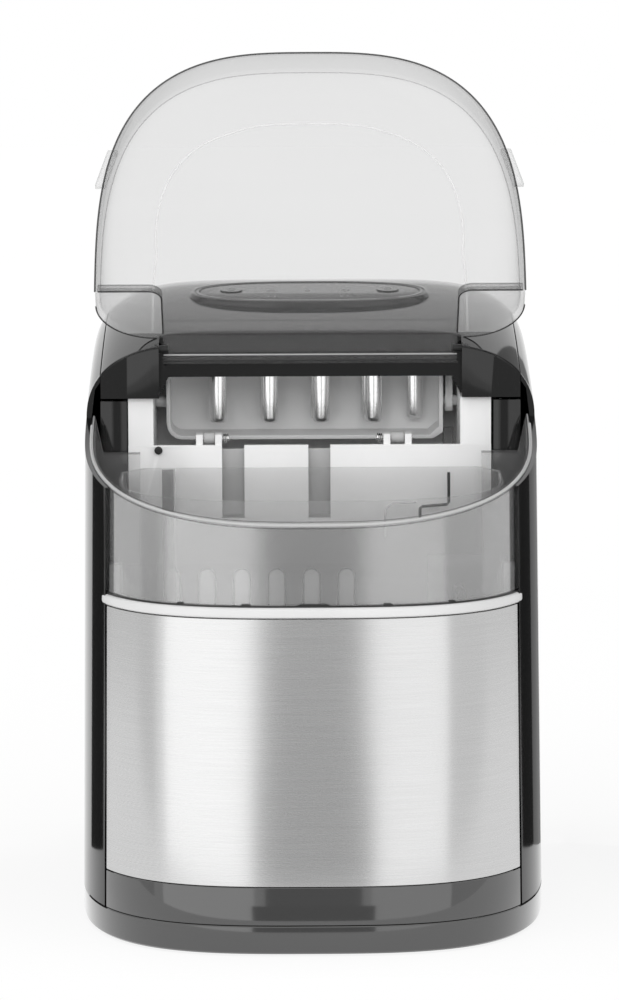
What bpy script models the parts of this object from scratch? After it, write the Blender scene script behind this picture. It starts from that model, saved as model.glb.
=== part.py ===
"""Countertop ice maker with an open hinged hood, built from separate pieces.

Working units are millimetres in (x, depth, z): x to the right, depth from the front face
towards the rear, z up from the table.  place() turns them into metres in the part's frame,
whose origin is at the centre of the footprint.
"""
import math

import bmesh
import bpy
from mathutils import Matrix, Vector

MM = 0.001
GAP = 0.3
WELD = 0.03

# Overall body
DEPTH = 340.0
HALF_WIDTH = 119.5
FLARE = 0.0275
FLARE_HEIGHT = 245.0
NOSE_DEPTH = 145.0
NOSE_POWER = 3.05
REAR_RADIUS = 25.0
REAR_FLANGE_X = HALF_WIDTH - REAR_RADIUS
REAR_PANEL_TOP = 300.0

# Heights of the front's layers
SKIRT_BOTTOM = 1.0
PAN_TOP = 15.9
STEEL_BOTTOM = 36.5
STEEL_TOP = 174.8
BAND_TOP = 180.8
RIM_FRONT = 222.2
WINDOW_FRONT = 219.4

# Roof
CROWN = 321.0
CROWN_DEPTH = 255.0
ROOF_DROP = 41.0
SEAM_INSET = 7.4
SHOULDER_FRONT = 141.3
SHOULDER_BOTTOM = 270.4
SHOULDER_INNER = 80.7
COVER_FRONT = 158.0
FASCIA_BOTTOM = 280.0
SKIN = 2.5

# Front pieces end where the side panels begin
FRONT_END = 46.0
FRONT_STEPS = 22

# Hood
LID_PIVOT = (149.0, 296.0)
LID_OPEN = 131.0
LID_INSET = 6.0
LID_SKIN = 2.2
LID_REAR = 140.6
LID_LIP = 13.5
LID_REACH = 1.013
TONGUE_HALF = 78.6
TONGUE_END = 155.4
ROOF_LINE_START = (27.0, 255.0)
ROOF_LINE_SLOPE = 0.375
EAR_THICKNESS = 3.0
PIN_RADIUS = 2.0
PIN_SPAN = (SHOULDER_INNER - 4.8, SHOULDER_INNER + 1.5)
TAB_DEPTH = (54.0, 77.5)
TAB_INNER = (102.4, 108.8)
TAB_WIDTH = 5.6
TAB_HEIGHT = (245.6, 249.2)

# Window
WINDOW_INSET = 2.8
WINDOW_SKIN = 2.0
WINDOW_REAR = 143.6
FLANGE_INNER = 91.0

# Tank and ice chamber
BAR_DEPTH = 146.0
BAR_TOP = 244.5
TANK_FLOOR = 60.0
CHAMBER_REAR = 232.0
CHEEK_LEFT = -84.0
CHEEK_RIGHT = 80.0
CHEEK_OUTER = 96.5
LINER_SCREW = (-81.4, 241.9)

# Basket
BASKET_HALF = 101.0
BASKET_REAR = 140.0
BASKET_BOTTOM = 140.0
BASKET_TOP = 233.4
BASKET_SKIN = 2.0
PUMP_BAY = (60.0, 108.0)
PUMP_BAY_TOP = 188.0

# Freezing fingers
FINGER_RADIUS = 4.6
FINGER_BOTTOM = 251.0
FRONT_FINGERS = (190.0, (-50.0, -22.0, 6.0, 34.5))
REAR_FINGERS = (205.0, (-51.0, -23.4, 4.5, 32.0, 57.0))

# Water tray, upright at rest
TRAY_AXIS = (197.0, 262.0)
TRAY_LEFT = -78.0
TRAY_RIGHT = 72.0
TRAY_BOTTOM = 242.5
TRAY_TOP = 283.0
TRAY_FRONT = 186.0
TRAY_REAR = 215.5
SHAFT_RADIUS = 3.0

FLAP_AXIS = (155.5, 247.0)
KNUCKLES = ((-57.3, -51.5), (43.0, 50.0))
FLAP_PIN = 1.2
LUG_GAP = 0.4
LUG_WIDTH = 3.6
SPRING_REACH = 8.0

# Machine compartment
DRAIN = (-42.0, 48.0)
INLET = (60.0, 30.0)
REAR_SCREWS = ((-80.0, 40.0), (80.0, 40.0), (-80.0, 285.0), (80.0, 285.0))
FAN_CENTRE = (264.0, 76.0)
COMPRESSOR_CENTRE = (20.0, 270.0)
FEET = ((-78.0, 60.0), (78.0, 60.0), (-92.0, 300.0), (92.0, 300.0))

PANEL_CENTRE = 224.0
PANEL_TILT = math.radians(5.7)
PANEL_LIFT = 1.6
KEY_RADIUS = 6.0
KEY_X = 43.0


def place(x, depth, z):
    return Vector((x, depth - DEPTH / 2, z)) * MM


def material(name, colour, roughness, metallic=0.0, alpha=1.0):
    mat = bpy.data.materials.get(name) or bpy.data.materials.new(name)
    mat.use_nodes = True
    shader = mat.node_tree.nodes["Principled BSDF"]
    shader.inputs["Base Color"].default_value = (*colour, 1.0)
    shader.inputs["Roughness"].default_value = roughness
    shader.inputs["Metallic"].default_value = metallic
    shader.inputs["Alpha"].default_value = alpha
    return mat


def black_gloss():
    return material("black_gloss", (0.012, 0.012, 0.013), 0.12)


def steel():
    return material("brushed_steel", (0.62, 0.62, 0.63), 0.32, 1.0)


def chrome():
    return material("chrome", (0.86, 0.86, 0.87), 0.08, 1.0)


def white_plastic():
    return material("white_plastic", (0.86, 0.86, 0.86), 0.4)


def grey_plastic():
    return material("grey_plastic", (0.42, 0.42, 0.42), 0.45)


def smoke():
    return material("smoke_plastic", (0.5, 0.5, 0.5), 0.08, 0.0, 0.35)


def frosted():
    return material("frosted_plastic", (0.85, 0.85, 0.85), 0.35, 0.0, 0.6)


def rubber():
    return material("black_rubber", (0.03, 0.03, 0.03), 0.8)


def dark_metal():
    return material("dark_metal", (0.03, 0.03, 0.03), 0.4, 0.6)


def copper():
    return material("copper", (0.72, 0.36, 0.2), 0.3, 1.0)


def foam():
    return material("foam", (0.8, 0.78, 0.68), 0.9)


def green_board():
    return material("green_board", (0.02, 0.16, 0.07), 0.5)


def mesh_object(name, verts, faces, mat, origin=(0.0, DEPTH / 2, 0.0), smooth=True):
    """Make an object from points in millimetres, with its origin at the given point."""
    base = place(*origin)
    mesh = bpy.data.meshes.new(name)
    mesh.from_pydata([place(*v) - base for v in verts], [], faces)
    work = bmesh.new()
    work.from_mesh(mesh)
    bmesh.ops.recalc_face_normals(work, faces=work.faces)
    work.to_mesh(mesh)
    work.free()
    obj = bpy.data.objects.new(name, mesh)
    obj.location = base
    bpy.context.scene.collection.objects.link(obj)
    mesh.materials.append(mat)
    if smooth:
        mesh.shade_smooth()
        mesh.set_sharp_from_angle(angle=math.radians(32))
    return obj


def loft(name, rings, mat, closed=False, **options):
    """Join rings of equal length; open lofts get a cap at each end."""
    size = len(rings[0])
    verts = [point for ring in rings for point in ring]
    faces = []
    count = len(rings)
    for r in range(count if closed else count - 1):
        low = r * size
        high = ((r + 1) % count) * size
        for i in range(size):
            j = (i + 1) % size
            faces.append((low + i, low + j, high + j, high + i))
    if not closed:
        faces.append(tuple(range(size)))
        faces.append(tuple(range((count - 1) * size, count * size)))
    return mesh_object(name, verts, faces, mat, **options)


def block(name, x, depth, z, mat, bevel=0.0, **options):
    """Box between two values on each axis, with optional bevelled edges in millimetres."""
    rings = [[(x[0], depth[0], h), (x[1], depth[0], h), (x[1], depth[1], h), (x[0], depth[1], h)]
             for h in z]
    obj = loft(name, rings, mat, smooth=False, **options)
    if bevel:
        work = bmesh.new()
        work.from_mesh(obj.data)
        bmesh.ops.bevel(work, geom=work.edges[:], offset=bevel * MM, segments=1, affect="EDGES")
        work.to_mesh(obj.data)
        work.free()
    return obj


def prism(name, outline, span, plane, mat, **options):
    """Extrude an outline over a span; plane says which axis it is pushed along."""
    orders = {"x": lambda a, b, s: (s, a, b),
              "depth": lambda a, b, s: (a, s, b),
              "z": lambda a, b, s: (a, b, s)}
    order = orders[plane]
    rings = [[order(a, b, s) for a, b in outline] for s in span]
    return loft(name, rings, mat, **options)


def circle(radius, sides, centre=(0.0, 0.0)):
    return [(centre[0] + radius * math.cos(2 * math.pi * i / sides),
             centre[1] + radius * math.sin(2 * math.pi * i / sides)) for i in range(sides)]


def turned(name, profile, centre, axis, mat, sides=16, **options):
    """Solid of revolution: profile is (radius, distance along the axis) from end to end."""
    rings = []
    for radius, along in profile:
        ring = []
        for a, b in circle(radius, sides):
            if axis == "x":
                ring.append((along, centre[0] + a, centre[1] + b))
            elif axis == "depth":
                ring.append((centre[0] + a, along, centre[1] + b))
            else:
                ring.append((centre[0] + a, centre[1] + b, along))
        rings.append(ring)
    return loft(name, rings, mat, **options)


def rod(name, radius, span, centre, axis, mat, sides=16, **options):
    """Plain round bar over a span of its axis."""
    return turned(name, ((radius, span[0]), (radius, span[1])), centre, axis, mat, sides,
                  **options)


def tube(name, points, radius, mat, sides=8, **options):
    """Round tube along a list of points in millimetres."""
    path = [Vector(p) for p in points]
    rings = []
    side = None
    for i, point in enumerate(path):
        ahead = path[min(i + 1, len(path) - 1)]
        behind = path[max(i - 1, 0)]
        tangent = (ahead - behind).normalized()
        if side is None:
            helper = Vector((0.0, 0.0, 1.0))
            if abs(tangent.dot(helper)) > 0.9:
                helper = Vector((1.0, 0.0, 0.0))
            side = tangent.cross(helper).normalized()
        side = (side - tangent * side.dot(tangent)).normalized()
        other = tangent.cross(side)
        rings.append([tuple(point + side * a + other * b) for a, b in circle(radius, sides)])
    return loft(name, rings, mat, **options)


def smooth_route(points, steps=5):
    """Points on a Catmull-Rom curve through the given ones."""
    padded = [points[0]] + list(points) + [points[-1]]
    route = []
    for i in range(1, len(padded) - 2):
        p0, p1, p2, p3 = (Vector(p) for p in padded[i - 1:i + 3])
        for s in range(steps):
            t = s / steps
            route.append(0.5 * (2 * p1 + (p2 - p0) * t + (2 * p0 - 5 * p1 + 4 * p2 - p3) * t * t
                                + (3 * p1 - p0 - 3 * p2 + p3) * t ** 3))
    route.append(Vector(points[-1]))
    return route


def combine(target, tool, operation):
    """Apply an exact Boolean to target and remove the tool object."""
    modifier = target.modifiers.new("combine", "BOOLEAN")
    modifier.operation = operation
    modifier.solver = "EXACT"
    modifier.object = tool
    graph = bpy.context.evaluated_depsgraph_get()
    mesh = bpy.data.meshes.new_from_object(target.evaluated_get(graph))
    target.modifiers.clear()
    target.data = mesh
    bpy.data.objects.remove(tool, do_unlink=True)
    return target


def weld(obj):
    """Merge the slivers that a chain of Booleans can leave."""
    work = bmesh.new()
    work.from_mesh(obj.data)
    bmesh.ops.remove_doubles(work, verts=work.verts[:], dist=WELD * MM)
    work.to_mesh(obj.data)
    work.free()


def facet(obj):
    """Split twisted quads into triangles, so that exact cuts meet flat faces."""
    work = bmesh.new()
    work.from_mesh(obj.data)
    bmesh.ops.triangulate(work, faces=work.faces[:])
    work.to_mesh(obj.data)
    work.free()


def cut(target, tool):
    return combine(target, tool, "DIFFERENCE")


def join(target, tool):
    return combine(target, tool, "UNION")


def cut_box(target, x, depth, z):
    return cut(target, block("cutter", x, depth, z, target.data.materials[0]))


def join_box(target, x, depth, z):
    return join(target, block("adder", x, depth, z, target.data.materials[0]))


# ---------------------------------------------------------------- body outline and surfaces

def flare(z):
    """The sides lean out slightly towards the table."""
    return 1.0 + FLARE * (1.0 - z / FLARE_HEIGHT)


def nose_point(angle, inset):
    """Point on the front curve: angle 0 is the right side, 90 degrees the front centre."""
    c = math.cos(angle)
    s = max(math.sin(angle), 0.0)
    x = HALF_WIDTH * abs(c) ** (2 / NOSE_POWER)
    back = NOSE_DEPTH * s ** (2 / NOSE_POWER)
    normal = Vector((x ** (NOSE_POWER - 1) / HALF_WIDTH ** NOSE_POWER,
                     -back ** (NOSE_POWER - 1) / NOSE_DEPTH ** NOSE_POWER)).normalized()
    px = x - normal.x * inset
    if c < 0:
        px = -px
    return px, NOSE_DEPTH - back - normal.y * inset


def nose_angle(depth):
    """Angle at which the uninset front curve reaches a depth."""
    if depth >= NOSE_DEPTH:
        return 0.0
    return math.asin(((NOSE_DEPTH - depth) / NOSE_DEPTH) ** (NOSE_POWER / 2))


def front_arc(inset, depth_end, steps=FRONT_STEPS):
    """Front curve from the right side at depth_end round to the left side."""
    start = nose_angle(depth_end)
    arc = [nose_point(start + (math.pi - 2 * start) * i / steps, inset) for i in range(steps + 1)]
    if depth_end > NOSE_DEPTH:
        arc = [(HALF_WIDTH - inset, depth_end)] + arc + [(inset - HALF_WIDTH, depth_end)]
    return arc


def rear_corner(inset, side, steps=4):
    """Rear corner from the side face to the rear face; side is 1 on the right, -1 on the left."""
    centre_x = HALF_WIDTH - REAR_RADIUS
    centre_d = DEPTH - REAR_RADIUS
    radius = REAR_RADIUS - inset
    return [(side * (centre_x + radius * math.cos(math.pi / 2 * i / steps)),
             centre_d + radius * math.sin(math.pi / 2 * i / steps)) for i in range(steps + 1)]


def outline(inset, z):
    """Closed body outline at a height."""
    points = front_arc(inset, NOSE_DEPTH) + rear_corner(inset, -1) + rear_corner(inset, 1)[::-1]
    return [(x * flare(z), d) for x, d in points]


def rim_height(depth):
    """Height of the shut hood's rim, low at the front and rising along the sides."""
    return RIM_FRONT + 1.55 * math.sqrt(max(depth, 0.0)) + 0.1 * max(depth, 0.0)


def window_height(depth):
    """Height of the window's rim, which climbs further at its rear ends."""
    climb = 0.0019 * max(depth - 90.0, 0.0) ** 2
    return WINDOW_FRONT + 1.9 * math.sqrt(max(depth, 0.0)) + 0.1 * max(depth, 0.0) + climb


def ridge(depth):
    """Height of the roof along its centre line."""
    depth = max(depth, SHOULDER_FRONT)
    if depth < CROWN_DEPTH:
        return CROWN - 17.1 * ((CROWN_DEPTH - depth) / 98.0) ** 1.5
    fall = 6.0 * ((depth - CROWN_DEPTH) / 70.0) ** 2
    edge = max(depth - 325.0, 0.0) / 15.0
    return CROWN - fall - 13.0 * (1 - math.sqrt(max(1 - min(edge, 1.0) ** 2, 0.0)))


def roof_fall(x):
    """How far the roof falls from the ridge at a distance from the centre line."""
    ratio = min(abs(x) / HALF_WIDTH, 1.0)
    return ROOF_DROP * (1 - (1 - ratio ** 5.4) ** (1 / 2.3))


def roof(x, depth):
    return ridge(depth) - roof_fall(x)


def wall(name, outer, inner, bottom, top, mat, **options):
    """Upright wall between two matching paths; bottom and top are functions of the depth."""
    rings = []
    for (ox, od), (ix, idepth) in zip(outer, inner):
        low = bottom(od)
        high = top(od)
        rings.append([(ox * flare(low), od, low), (ox * flare(high), od, high),
                      (ix * flare(high), idepth, high), (ix * flare(low), idepth, low)])
    return loft(name, rings, mat, **options)


# ---------------------------------------------------------------- outer shells

def make_base_pan():
    levels = ((SKIRT_BOTTOM, 2.0), (3.0, 0.2), (PAN_TOP, 0.0), (PAN_TOP, SKIN), (4.5, SKIN))
    rings = [[(x, d, z) for x, d in outline(inset, z)] for z, inset in levels]
    pan = loft("base_pan", rings, black_gloss())
    for foot in FEET:
        cut(pan, rod("cutter", 10.0, (0.0, 2.5), foot, "z", black_gloss()))
    return pan


def make_feet():
    names = ("front_left", "front_right", "rear_left", "rear_right")
    for name, foot in zip(names, FEET):
        turned("foot_" + name, ((8.8, 0.0), (9.5, 0.6), (9.5, 2.2)), foot, "z", rubber())


def make_front_trim_band():
    outer = front_arc(0.0, FRONT_END)
    inner = front_arc(SKIN, FRONT_END)
    return wall("front_trim_band", outer, inner, lambda d: PAN_TOP + GAP,
                lambda d: STEEL_BOTTOM - GAP, black_gloss())


def make_front_panel():
    outer = front_arc(0.3, FRONT_END)
    inner = front_arc(1.7, FRONT_END)
    return wall("front_panel", outer, inner, lambda d: STEEL_BOTTOM,
                lambda d: STEEL_TOP, steel())


def make_window_trim():
    outer = front_arc(0.0, FRONT_END - 1.0)
    inner = front_arc(4.6, FRONT_END - 1.0)
    return wall("window_trim", outer, inner, lambda d: STEEL_TOP + GAP, lambda d: BAND_TOP,
                white_plastic())


def make_front_window():
    outer = front_arc(WINDOW_INSET, NOSE_DEPTH, 30)[1:-1]
    inner = front_arc(WINDOW_INSET + WINDOW_SKIN, NOSE_DEPTH, 30)[1:-1]
    side = HALF_WIDTH - WINDOW_INSET
    front_face = WINDOW_REAR - WINDOW_SKIN
    flange_top = BAR_TOP - 3.0
    rings = []

    def section(ox, od, ix, inner_depth, top):
        low = BAND_TOP + GAP
        rings.append([(ox * flare(low), od, low), (ox * flare(top), od, top),
                      (ix * flare(top), inner_depth, top), (ix * flare(low), inner_depth, low)])

    section(FLANGE_INNER, WINDOW_REAR, FLANGE_INNER, front_face, flange_top)
    section(side - 6.0, WINDOW_REAR, side - 6.0, front_face, flange_top)
    section(side, WINDOW_REAR, side - WINDOW_SKIN, front_face, window_height(front_face))
    for (ox, od), (ix, inner_depth) in zip(outer, inner):
        section(ox, od, ix, inner_depth, window_height(od))
    section(-side, WINDOW_REAR, WINDOW_SKIN - side, front_face, window_height(front_face))
    section(6.0 - side, WINDOW_REAR, 6.0 - side, front_face, flange_top)
    section(-FLANGE_INNER, WINDOW_REAR, -FLANGE_INNER, front_face, flange_top)
    return loft("front_window", rings, smoke())


def side_path():
    """Right-hand side from the front panel's end to the rear flange, with inward normals."""
    start = nose_angle(FRONT_END + 0.4)
    path = []
    for i in range(9):
        angle = start * (1 - i / 8) ** 1.4
        x, d = nose_point(angle, 0.0)
        nx, nd = nose_point(angle, 1.0)
        path.append((x, d, nx - x, nd - d))
    for d in (200.0, 255.0, 290.0):
        path.append((HALF_WIDTH, d, -1.0, 0.0))
    for (x, d), (ix, inner_depth) in zip(rear_corner(0.0, 1), rear_corner(1.0, 1)):
        path.append((x, d, ix - x, inner_depth - d))
    path.append((REAR_FLANGE_X - 6.0, DEPTH, 0.0, -1.0))
    return path


def make_side_panel(name, side):
    """Skin with a rolled top edge that meets the top cover at the roof seam."""
    offsets = (0.0, 0.6, 1.6, 3.6, SEAM_INSET)
    rings = []
    for x, d, nx, nd in side_path():
        ring = []
        profile = [(0.0, PAN_TOP + GAP)]
        profile += [(o, ridge(d) - roof_fall(HALF_WIDTH - o)) for o in offsets]
        profile += [(o, ridge(d) - roof_fall(HALF_WIDTH - o) - SKIN - 1.0)
                    for o in (SEAM_INSET, 4.6)]
        profile += [(SKIN, ridge(d) - ROOF_DROP - 1.0), (SKIN, PAN_TOP + GAP)]
        for offset, z in profile:
            px = (x + nx * offset) * flare(min(z, FLARE_HEIGHT))
            ring.append((side * px, d + nd * offset, z))
        rings.append(ring)
    panel = loft(name, rings, black_gloss())
    depths = [FRONT_END - 12.0 + (SHOULDER_FRONT - FRONT_END + 12.0) * i / 10 for i in range(11)]
    profile = [(d, window_height(d) - 1.0) for d in depths]
    profile += [(SHOULDER_FRONT, CROWN + 20.0), (depths[0], CROWN + 20.0)]
    span = (side * 60.0, side * 160.0)
    cut(panel, prism("cutter", profile, span, "x", black_gloss(), smooth=False))
    return panel


def make_left_side_panel():
    panel = make_side_panel("left_side_panel", -1)
    for i in range(9):
        z = 42.0 + i * 9.0
        cut_box(panel, (-130.0, -110.0), (228.0, 300.0), (z, z + 3.6))
    return panel


def make_rear_panel():
    panel = block("rear_panel", (-REAR_FLANGE_X + 6.4, REAR_FLANGE_X - 6.4), (335.5, 338.5),
                  (PAN_TOP + GAP, REAR_PANEL_TOP), black_gloss())
    for i in range(8):
        z = 150.0 + i * 11.0
        cut_box(panel, (-62.0, 62.0), (330.0, 345.0), (z, z + 4.0))
    holes = [(DRAIN, 10.5), (INLET, 7.5)] + [(screw, 1.8) for screw in REAR_SCREWS]
    for centre, radius in holes:
        cut(panel, rod("cutter", radius, (330.0, 345.0), centre, "depth", black_gloss()))
    return panel


def grid_slab(name, xs, ds, keep, top, bottom, mat):
    """Closed slab over a grid of cells; keep says which cells are filled."""
    columns = len(xs)
    layer = columns * len(ds)
    verts = [(x, d, top(x, d)) for d in ds for x in xs]
    verts += [(x, d, bottom(x, d)) for d in ds for x in xs]
    cells = {(i, j) for i in range(columns - 1) for j in range(len(ds) - 1)
             if keep((xs[i] + xs[i + 1]) / 2, (ds[j] + ds[j + 1]) / 2)}
    faces = []
    for i, j in cells:
        a, b = j * columns + i, j * columns + i + 1
        c, d = (j + 1) * columns + i + 1, (j + 1) * columns + i
        faces.append((a, b, c, d))
        faces.append((layer + d, layer + c, layer + b, layer + a))
        for (p, q), neighbour in (((a, b), (i, j - 1)), ((b, c), (i + 1, j)),
                                  ((c, d), (i, j + 1)), ((d, a), (i - 1, j))):
            if neighbour not in cells:
                faces.append((q, p, layer + p, layer + q))
    used = sorted({index for face in faces for index in face})
    renumber = {old: new for new, old in enumerate(used)}
    faces = [tuple(renumber[index] for index in face) for face in faces]
    return mesh_object(name, [verts[index] for index in used], faces, mat)


def make_top_cover():
    step = 0.25
    inner = SHOULDER_INNER
    right = [20.0, 42.0, 62.0, inner, inner + SKIN, inner + SKIN + step, 93.0, 101.0, 107.0,
             110.0, 112.0, 114.6]
    xs = [-x for x in reversed(right)] + [0.0] + right
    face = SHOULDER_FRONT + SKIN
    fascia = COVER_FRONT + SKIN
    rear = DEPTH - SEAM_INSET - GAP - SKIN
    ds = [SHOULDER_FRONT, face, face + step, COVER_FRONT, fascia, fascia + step, 180.0, 200.0,
          220.0, 240.0, 262.0, 290.0, 315.0, 325.0, rear - step, rear, 331.0, DEPTH]

    def keep(x, d):
        return d > COVER_FRONT or abs(x) > inner

    def under(x, d):
        if abs(x) >= inner and d <= face:
            return SHOULDER_BOTTOM
        if inner <= abs(x) <= inner + SKIN and d <= fascia:
            return SHOULDER_BOTTOM
        if abs(x) <= inner + SKIN and COVER_FRONT <= d <= fascia:
            return FASCIA_BOTTOM
        if d >= rear and abs(x) < 90.0:
            return REAR_PANEL_TOP - 8.0
        return roof(x, d) - SKIN

    cover = grid_slab("top_cover", xs, ds, keep, roof, under, black_gloss())
    facet(cover)
    limit = SEAM_INSET + GAP
    footprint = prism("limit", outline(limit, FLARE_HEIGHT), (240.0, 340.0), "z", black_gloss())
    combine(cover, footprint, "INTERSECT")
    return cover


def make_inner_panels():
    for name, side in (("inner_panel_left", -1), ("inner_panel_right", 1)):
        x = sorted((side * (CHEEK_OUTER + 1.0), side * 112.6))
        block(name, x, (148.8, 151.0), (184.0, SHOULDER_BOTTOM - 2.0), black_gloss())


# ---------------------------------------------------------------- control panel

def oval(half_width, half_depth, centre_depth, sides=28):
    return [(half_width * math.copysign(abs(math.cos(t)) ** 0.72, math.cos(t)),
             centre_depth + half_depth * math.copysign(abs(math.sin(t)) ** 0.9, math.sin(t)))
            for t in (2 * math.pi * i / sides for i in range(sides))]


def panel_level(depth, height):
    """Height above the tilted plane that passes through the roof at the panel's centre."""
    return ridge(PANEL_CENTRE) + (depth - PANEL_CENTRE) * math.tan(PANEL_TILT) + height


def make_control_panel(cover):
    """Raised oval on the roof: a bezel ring, a face plate and two press keys."""
    centre = PANEL_CENTRE
    outer = oval(66.0, 29.0, centre)
    inner = oval(60.5, 24.0, centre)

    def seat(x, d):
        return max(roof(x, d) + GAP, panel_level(d, 0.3))

    rings = [[(x, d, roof(x, d) + GAP) for x, d in outer],
             [(x * 0.985, centre + (d - centre) * 0.97, panel_level(d, PANEL_LIFT))
              for x, d in outer],
             [(x, d, panel_level(d, PANEL_LIFT)) for x, d in inner],
             [(x, d, seat(x, d)) for x, d in inner]]
    loft("control_bezel", rings, black_gloss(), closed=True)
    plate = oval(60.1, 23.6, centre)
    rings = [[(x, d, seat(x, d)) for x, d in plate],
             [(x, d, panel_level(d, PANEL_LIFT - 0.4)) for x, d in plate]]
    overlay = loft("control_overlay", rings, black_gloss())
    key_depth = centre + 3.0
    for name, x in (("power_button", -KEY_X), ("size_button", KEY_X)):
        hole = circle(KEY_RADIUS + GAP, 18, (x, key_depth))
        for plate in (overlay, cover):
            cut(plate, prism("cutter", hole, (300.0, 340.0), "z", black_gloss()))
        cap = circle(KEY_RADIUS, 18, (x, key_depth))
        rings = [[(px, d, roof(x, key_depth) - 2.0) for px, d in cap],
                 [(px, d, panel_level(d, PANEL_LIFT + 0.3)) for px, d in cap]]
        loft(name, rings, black_gloss(), origin=(x, key_depth, panel_level(key_depth, PANEL_LIFT)))


# ---------------------------------------------------------------- hood

def lid_outline(inset, steps=30):
    """Hood edge at an inset: round the front from the right rear corner to the left one."""
    arc = [(x, LID_REAR - (LID_REAR - d) * LID_REACH)
           for x, d in front_arc(inset, NOSE_DEPTH, steps) if d < LID_REAR - 1.0]
    side = HALF_WIDTH - inset
    return [(side, LID_REAR)] + arc + [(-side, LID_REAR)]


def roof_line(depth):
    """Top plane of the closed hood."""
    return ROOF_LINE_START[1] + (depth - ROOF_LINE_START[0]) * ROOF_LINE_SLOPE


def lid_crease(x, depth):
    """Where the side wall has rolled over into the top plane, for a point of the rim."""
    frontness = 1.0 - min(depth / 90.0, 1.0)
    roll = 31.5 - 11.5 * frontness ** 0.8
    inner_x = max(abs(x) - roll * min(abs(x) / 60.0, 1.0), 0.0)
    inner_d = depth + 20.0 * max(1.0 - (max(depth, 0.0) / LID_REAR) ** 0.5, 0.0)
    return math.copysign(inner_x, x), min(inner_d, LID_REAR)


def lid_surface(shrink, rear, steps=5):
    """Closed rings from the rim to the crease, moved inwards by shrink."""
    rim = lid_outline(LID_INSET + shrink)
    rings = [[(x, min(d, rear), rim_height(d)) for x, d in rim]]
    for s in range(steps + 1):
        phi = math.pi / 2 * s / steps
        across = 1 - math.cos(phi)
        ring = []
        for x, d in rim:
            cx, cd = lid_crease(x, d)
            start = rim_height(d) + LID_LIP
            rise = roof_line(cd) - shrink - start
            ring.append((x + (cx - x) * across, min(d + (cd - d) * across, rear),
                         start + rise * math.sin(phi)))
        rings.append(ring)
    return rings


def open_lid(obj):
    """Turn a piece drawn with the hood closed to where it stands with the hood open."""
    obj.rotation_euler.x = -math.radians(LID_OPEN)


def make_lid():
    origin = (0.0, *LID_PIVOT)
    rings = lid_surface(0.0, LID_REAR)[::-1] + lid_surface(LID_SKIN, LID_REAR - LID_SKIN)
    lid = loft("lid", rings, smoke())
    tongue_root = roof_line(LID_REAR)
    tongue_tip = tongue_root + (TONGUE_END - LID_REAR) * 0.27
    cut_box(lid, (-TONGUE_HALF, TONGUE_HALF), (LID_REAR - 8.0, LID_REAR + 4.0),
            (230.0, tongue_root - 4.0))
    section = [(LID_REAR - 4.0, roof_line(LID_REAR - 4.0)), (LID_REAR, tongue_root),
               (TONGUE_END, tongue_tip), (TONGUE_END, tongue_tip - LID_SKIN),
               (LID_REAR, tongue_root - LID_SKIN), (LID_REAR - 4.0, tongue_root - LID_SKIN - 2.0)]
    join(lid, prism("tongue", section, (-TONGUE_HALF, TONGUE_HALF), "x", smoke(), smooth=False))
    ear = [(138.0, 295.5), (138.0, 292.5), (144.5, 291.0), (149.0, 290.6), (152.6, 291.4),
           (155.0, 294.5), (155.2, 300.8), (149.0, 299.2), (141.0, 297.0)]
    for side in (-1, 1):
        span = (side * (TONGUE_HALF - EAR_THICKNESS), side * TONGUE_HALF)
        join(lid, prism("ear", ear, span, "x", smoke(), smooth=False))
        cut(lid, rod("cutter", PIN_RADIUS + GAP, (side * (PIN_SPAN[0] - 0.9), side * 90.0),
                     LID_PIVOT, "x", smoke()))
        cut(lid, prism("cutter", tab_outline(side, GAP),
                       (TAB_HEIGHT[0] - GAP, TAB_HEIGHT[1] + GAP), "z", smoke(), smooth=False))
    lid.data.transform(Matrix.Translation(lid.location - place(*origin)))
    lid.location = place(*origin)
    open_lid(lid)


def tab_outline(side, margin=0.0):
    """Grip seen from above: it slants along the rim and stands out from it."""
    near, far = TAB_DEPTH[0] - margin, TAB_DEPTH[1] + margin
    inner = [x - 4 * margin for x in TAB_INNER]
    outer = [x + TAB_WIDTH + 4 * margin for x in TAB_INNER]
    return [(side * inner[0], near), (side * outer[0], near), (side * outer[1], far),
            (side * inner[1], far)]


def make_lid_tabs():
    for name, side in (("lid_tab_left", -1), ("lid_tab_right", 1)):
        open_lid(prism(name, tab_outline(side), TAB_HEIGHT, "z", frosted(), smooth=False,
                       origin=(0.0, *LID_PIVOT)))


def make_lid_pins(cover):
    for name, side in (("lid_hinge_pin_left", -1), ("lid_hinge_pin_right", 1)):
        hole = (side * (SHOULDER_INNER - 1.7), side * (PIN_SPAN[1] + 0.4))
        cut(cover, rod("cutter", PIN_RADIUS + GAP, hole, LID_PIVOT, "x", black_gloss()))
        rod(name, PIN_RADIUS, [side * end for end in PIN_SPAN], LID_PIVOT, "x", dark_metal(),
            origin=(side * SHOULDER_INNER, *LID_PIVOT))


# ---------------------------------------------------------------- tank, chamber and basket

def tank_loop(inset, rear, z):
    side = HALF_WIDTH - inset
    loop = [(side, rear)] + front_arc(inset, NOSE_DEPTH) + [(-side, rear)]
    return [(x * flare(z), min(d, rear), z) for x, d in loop]


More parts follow.
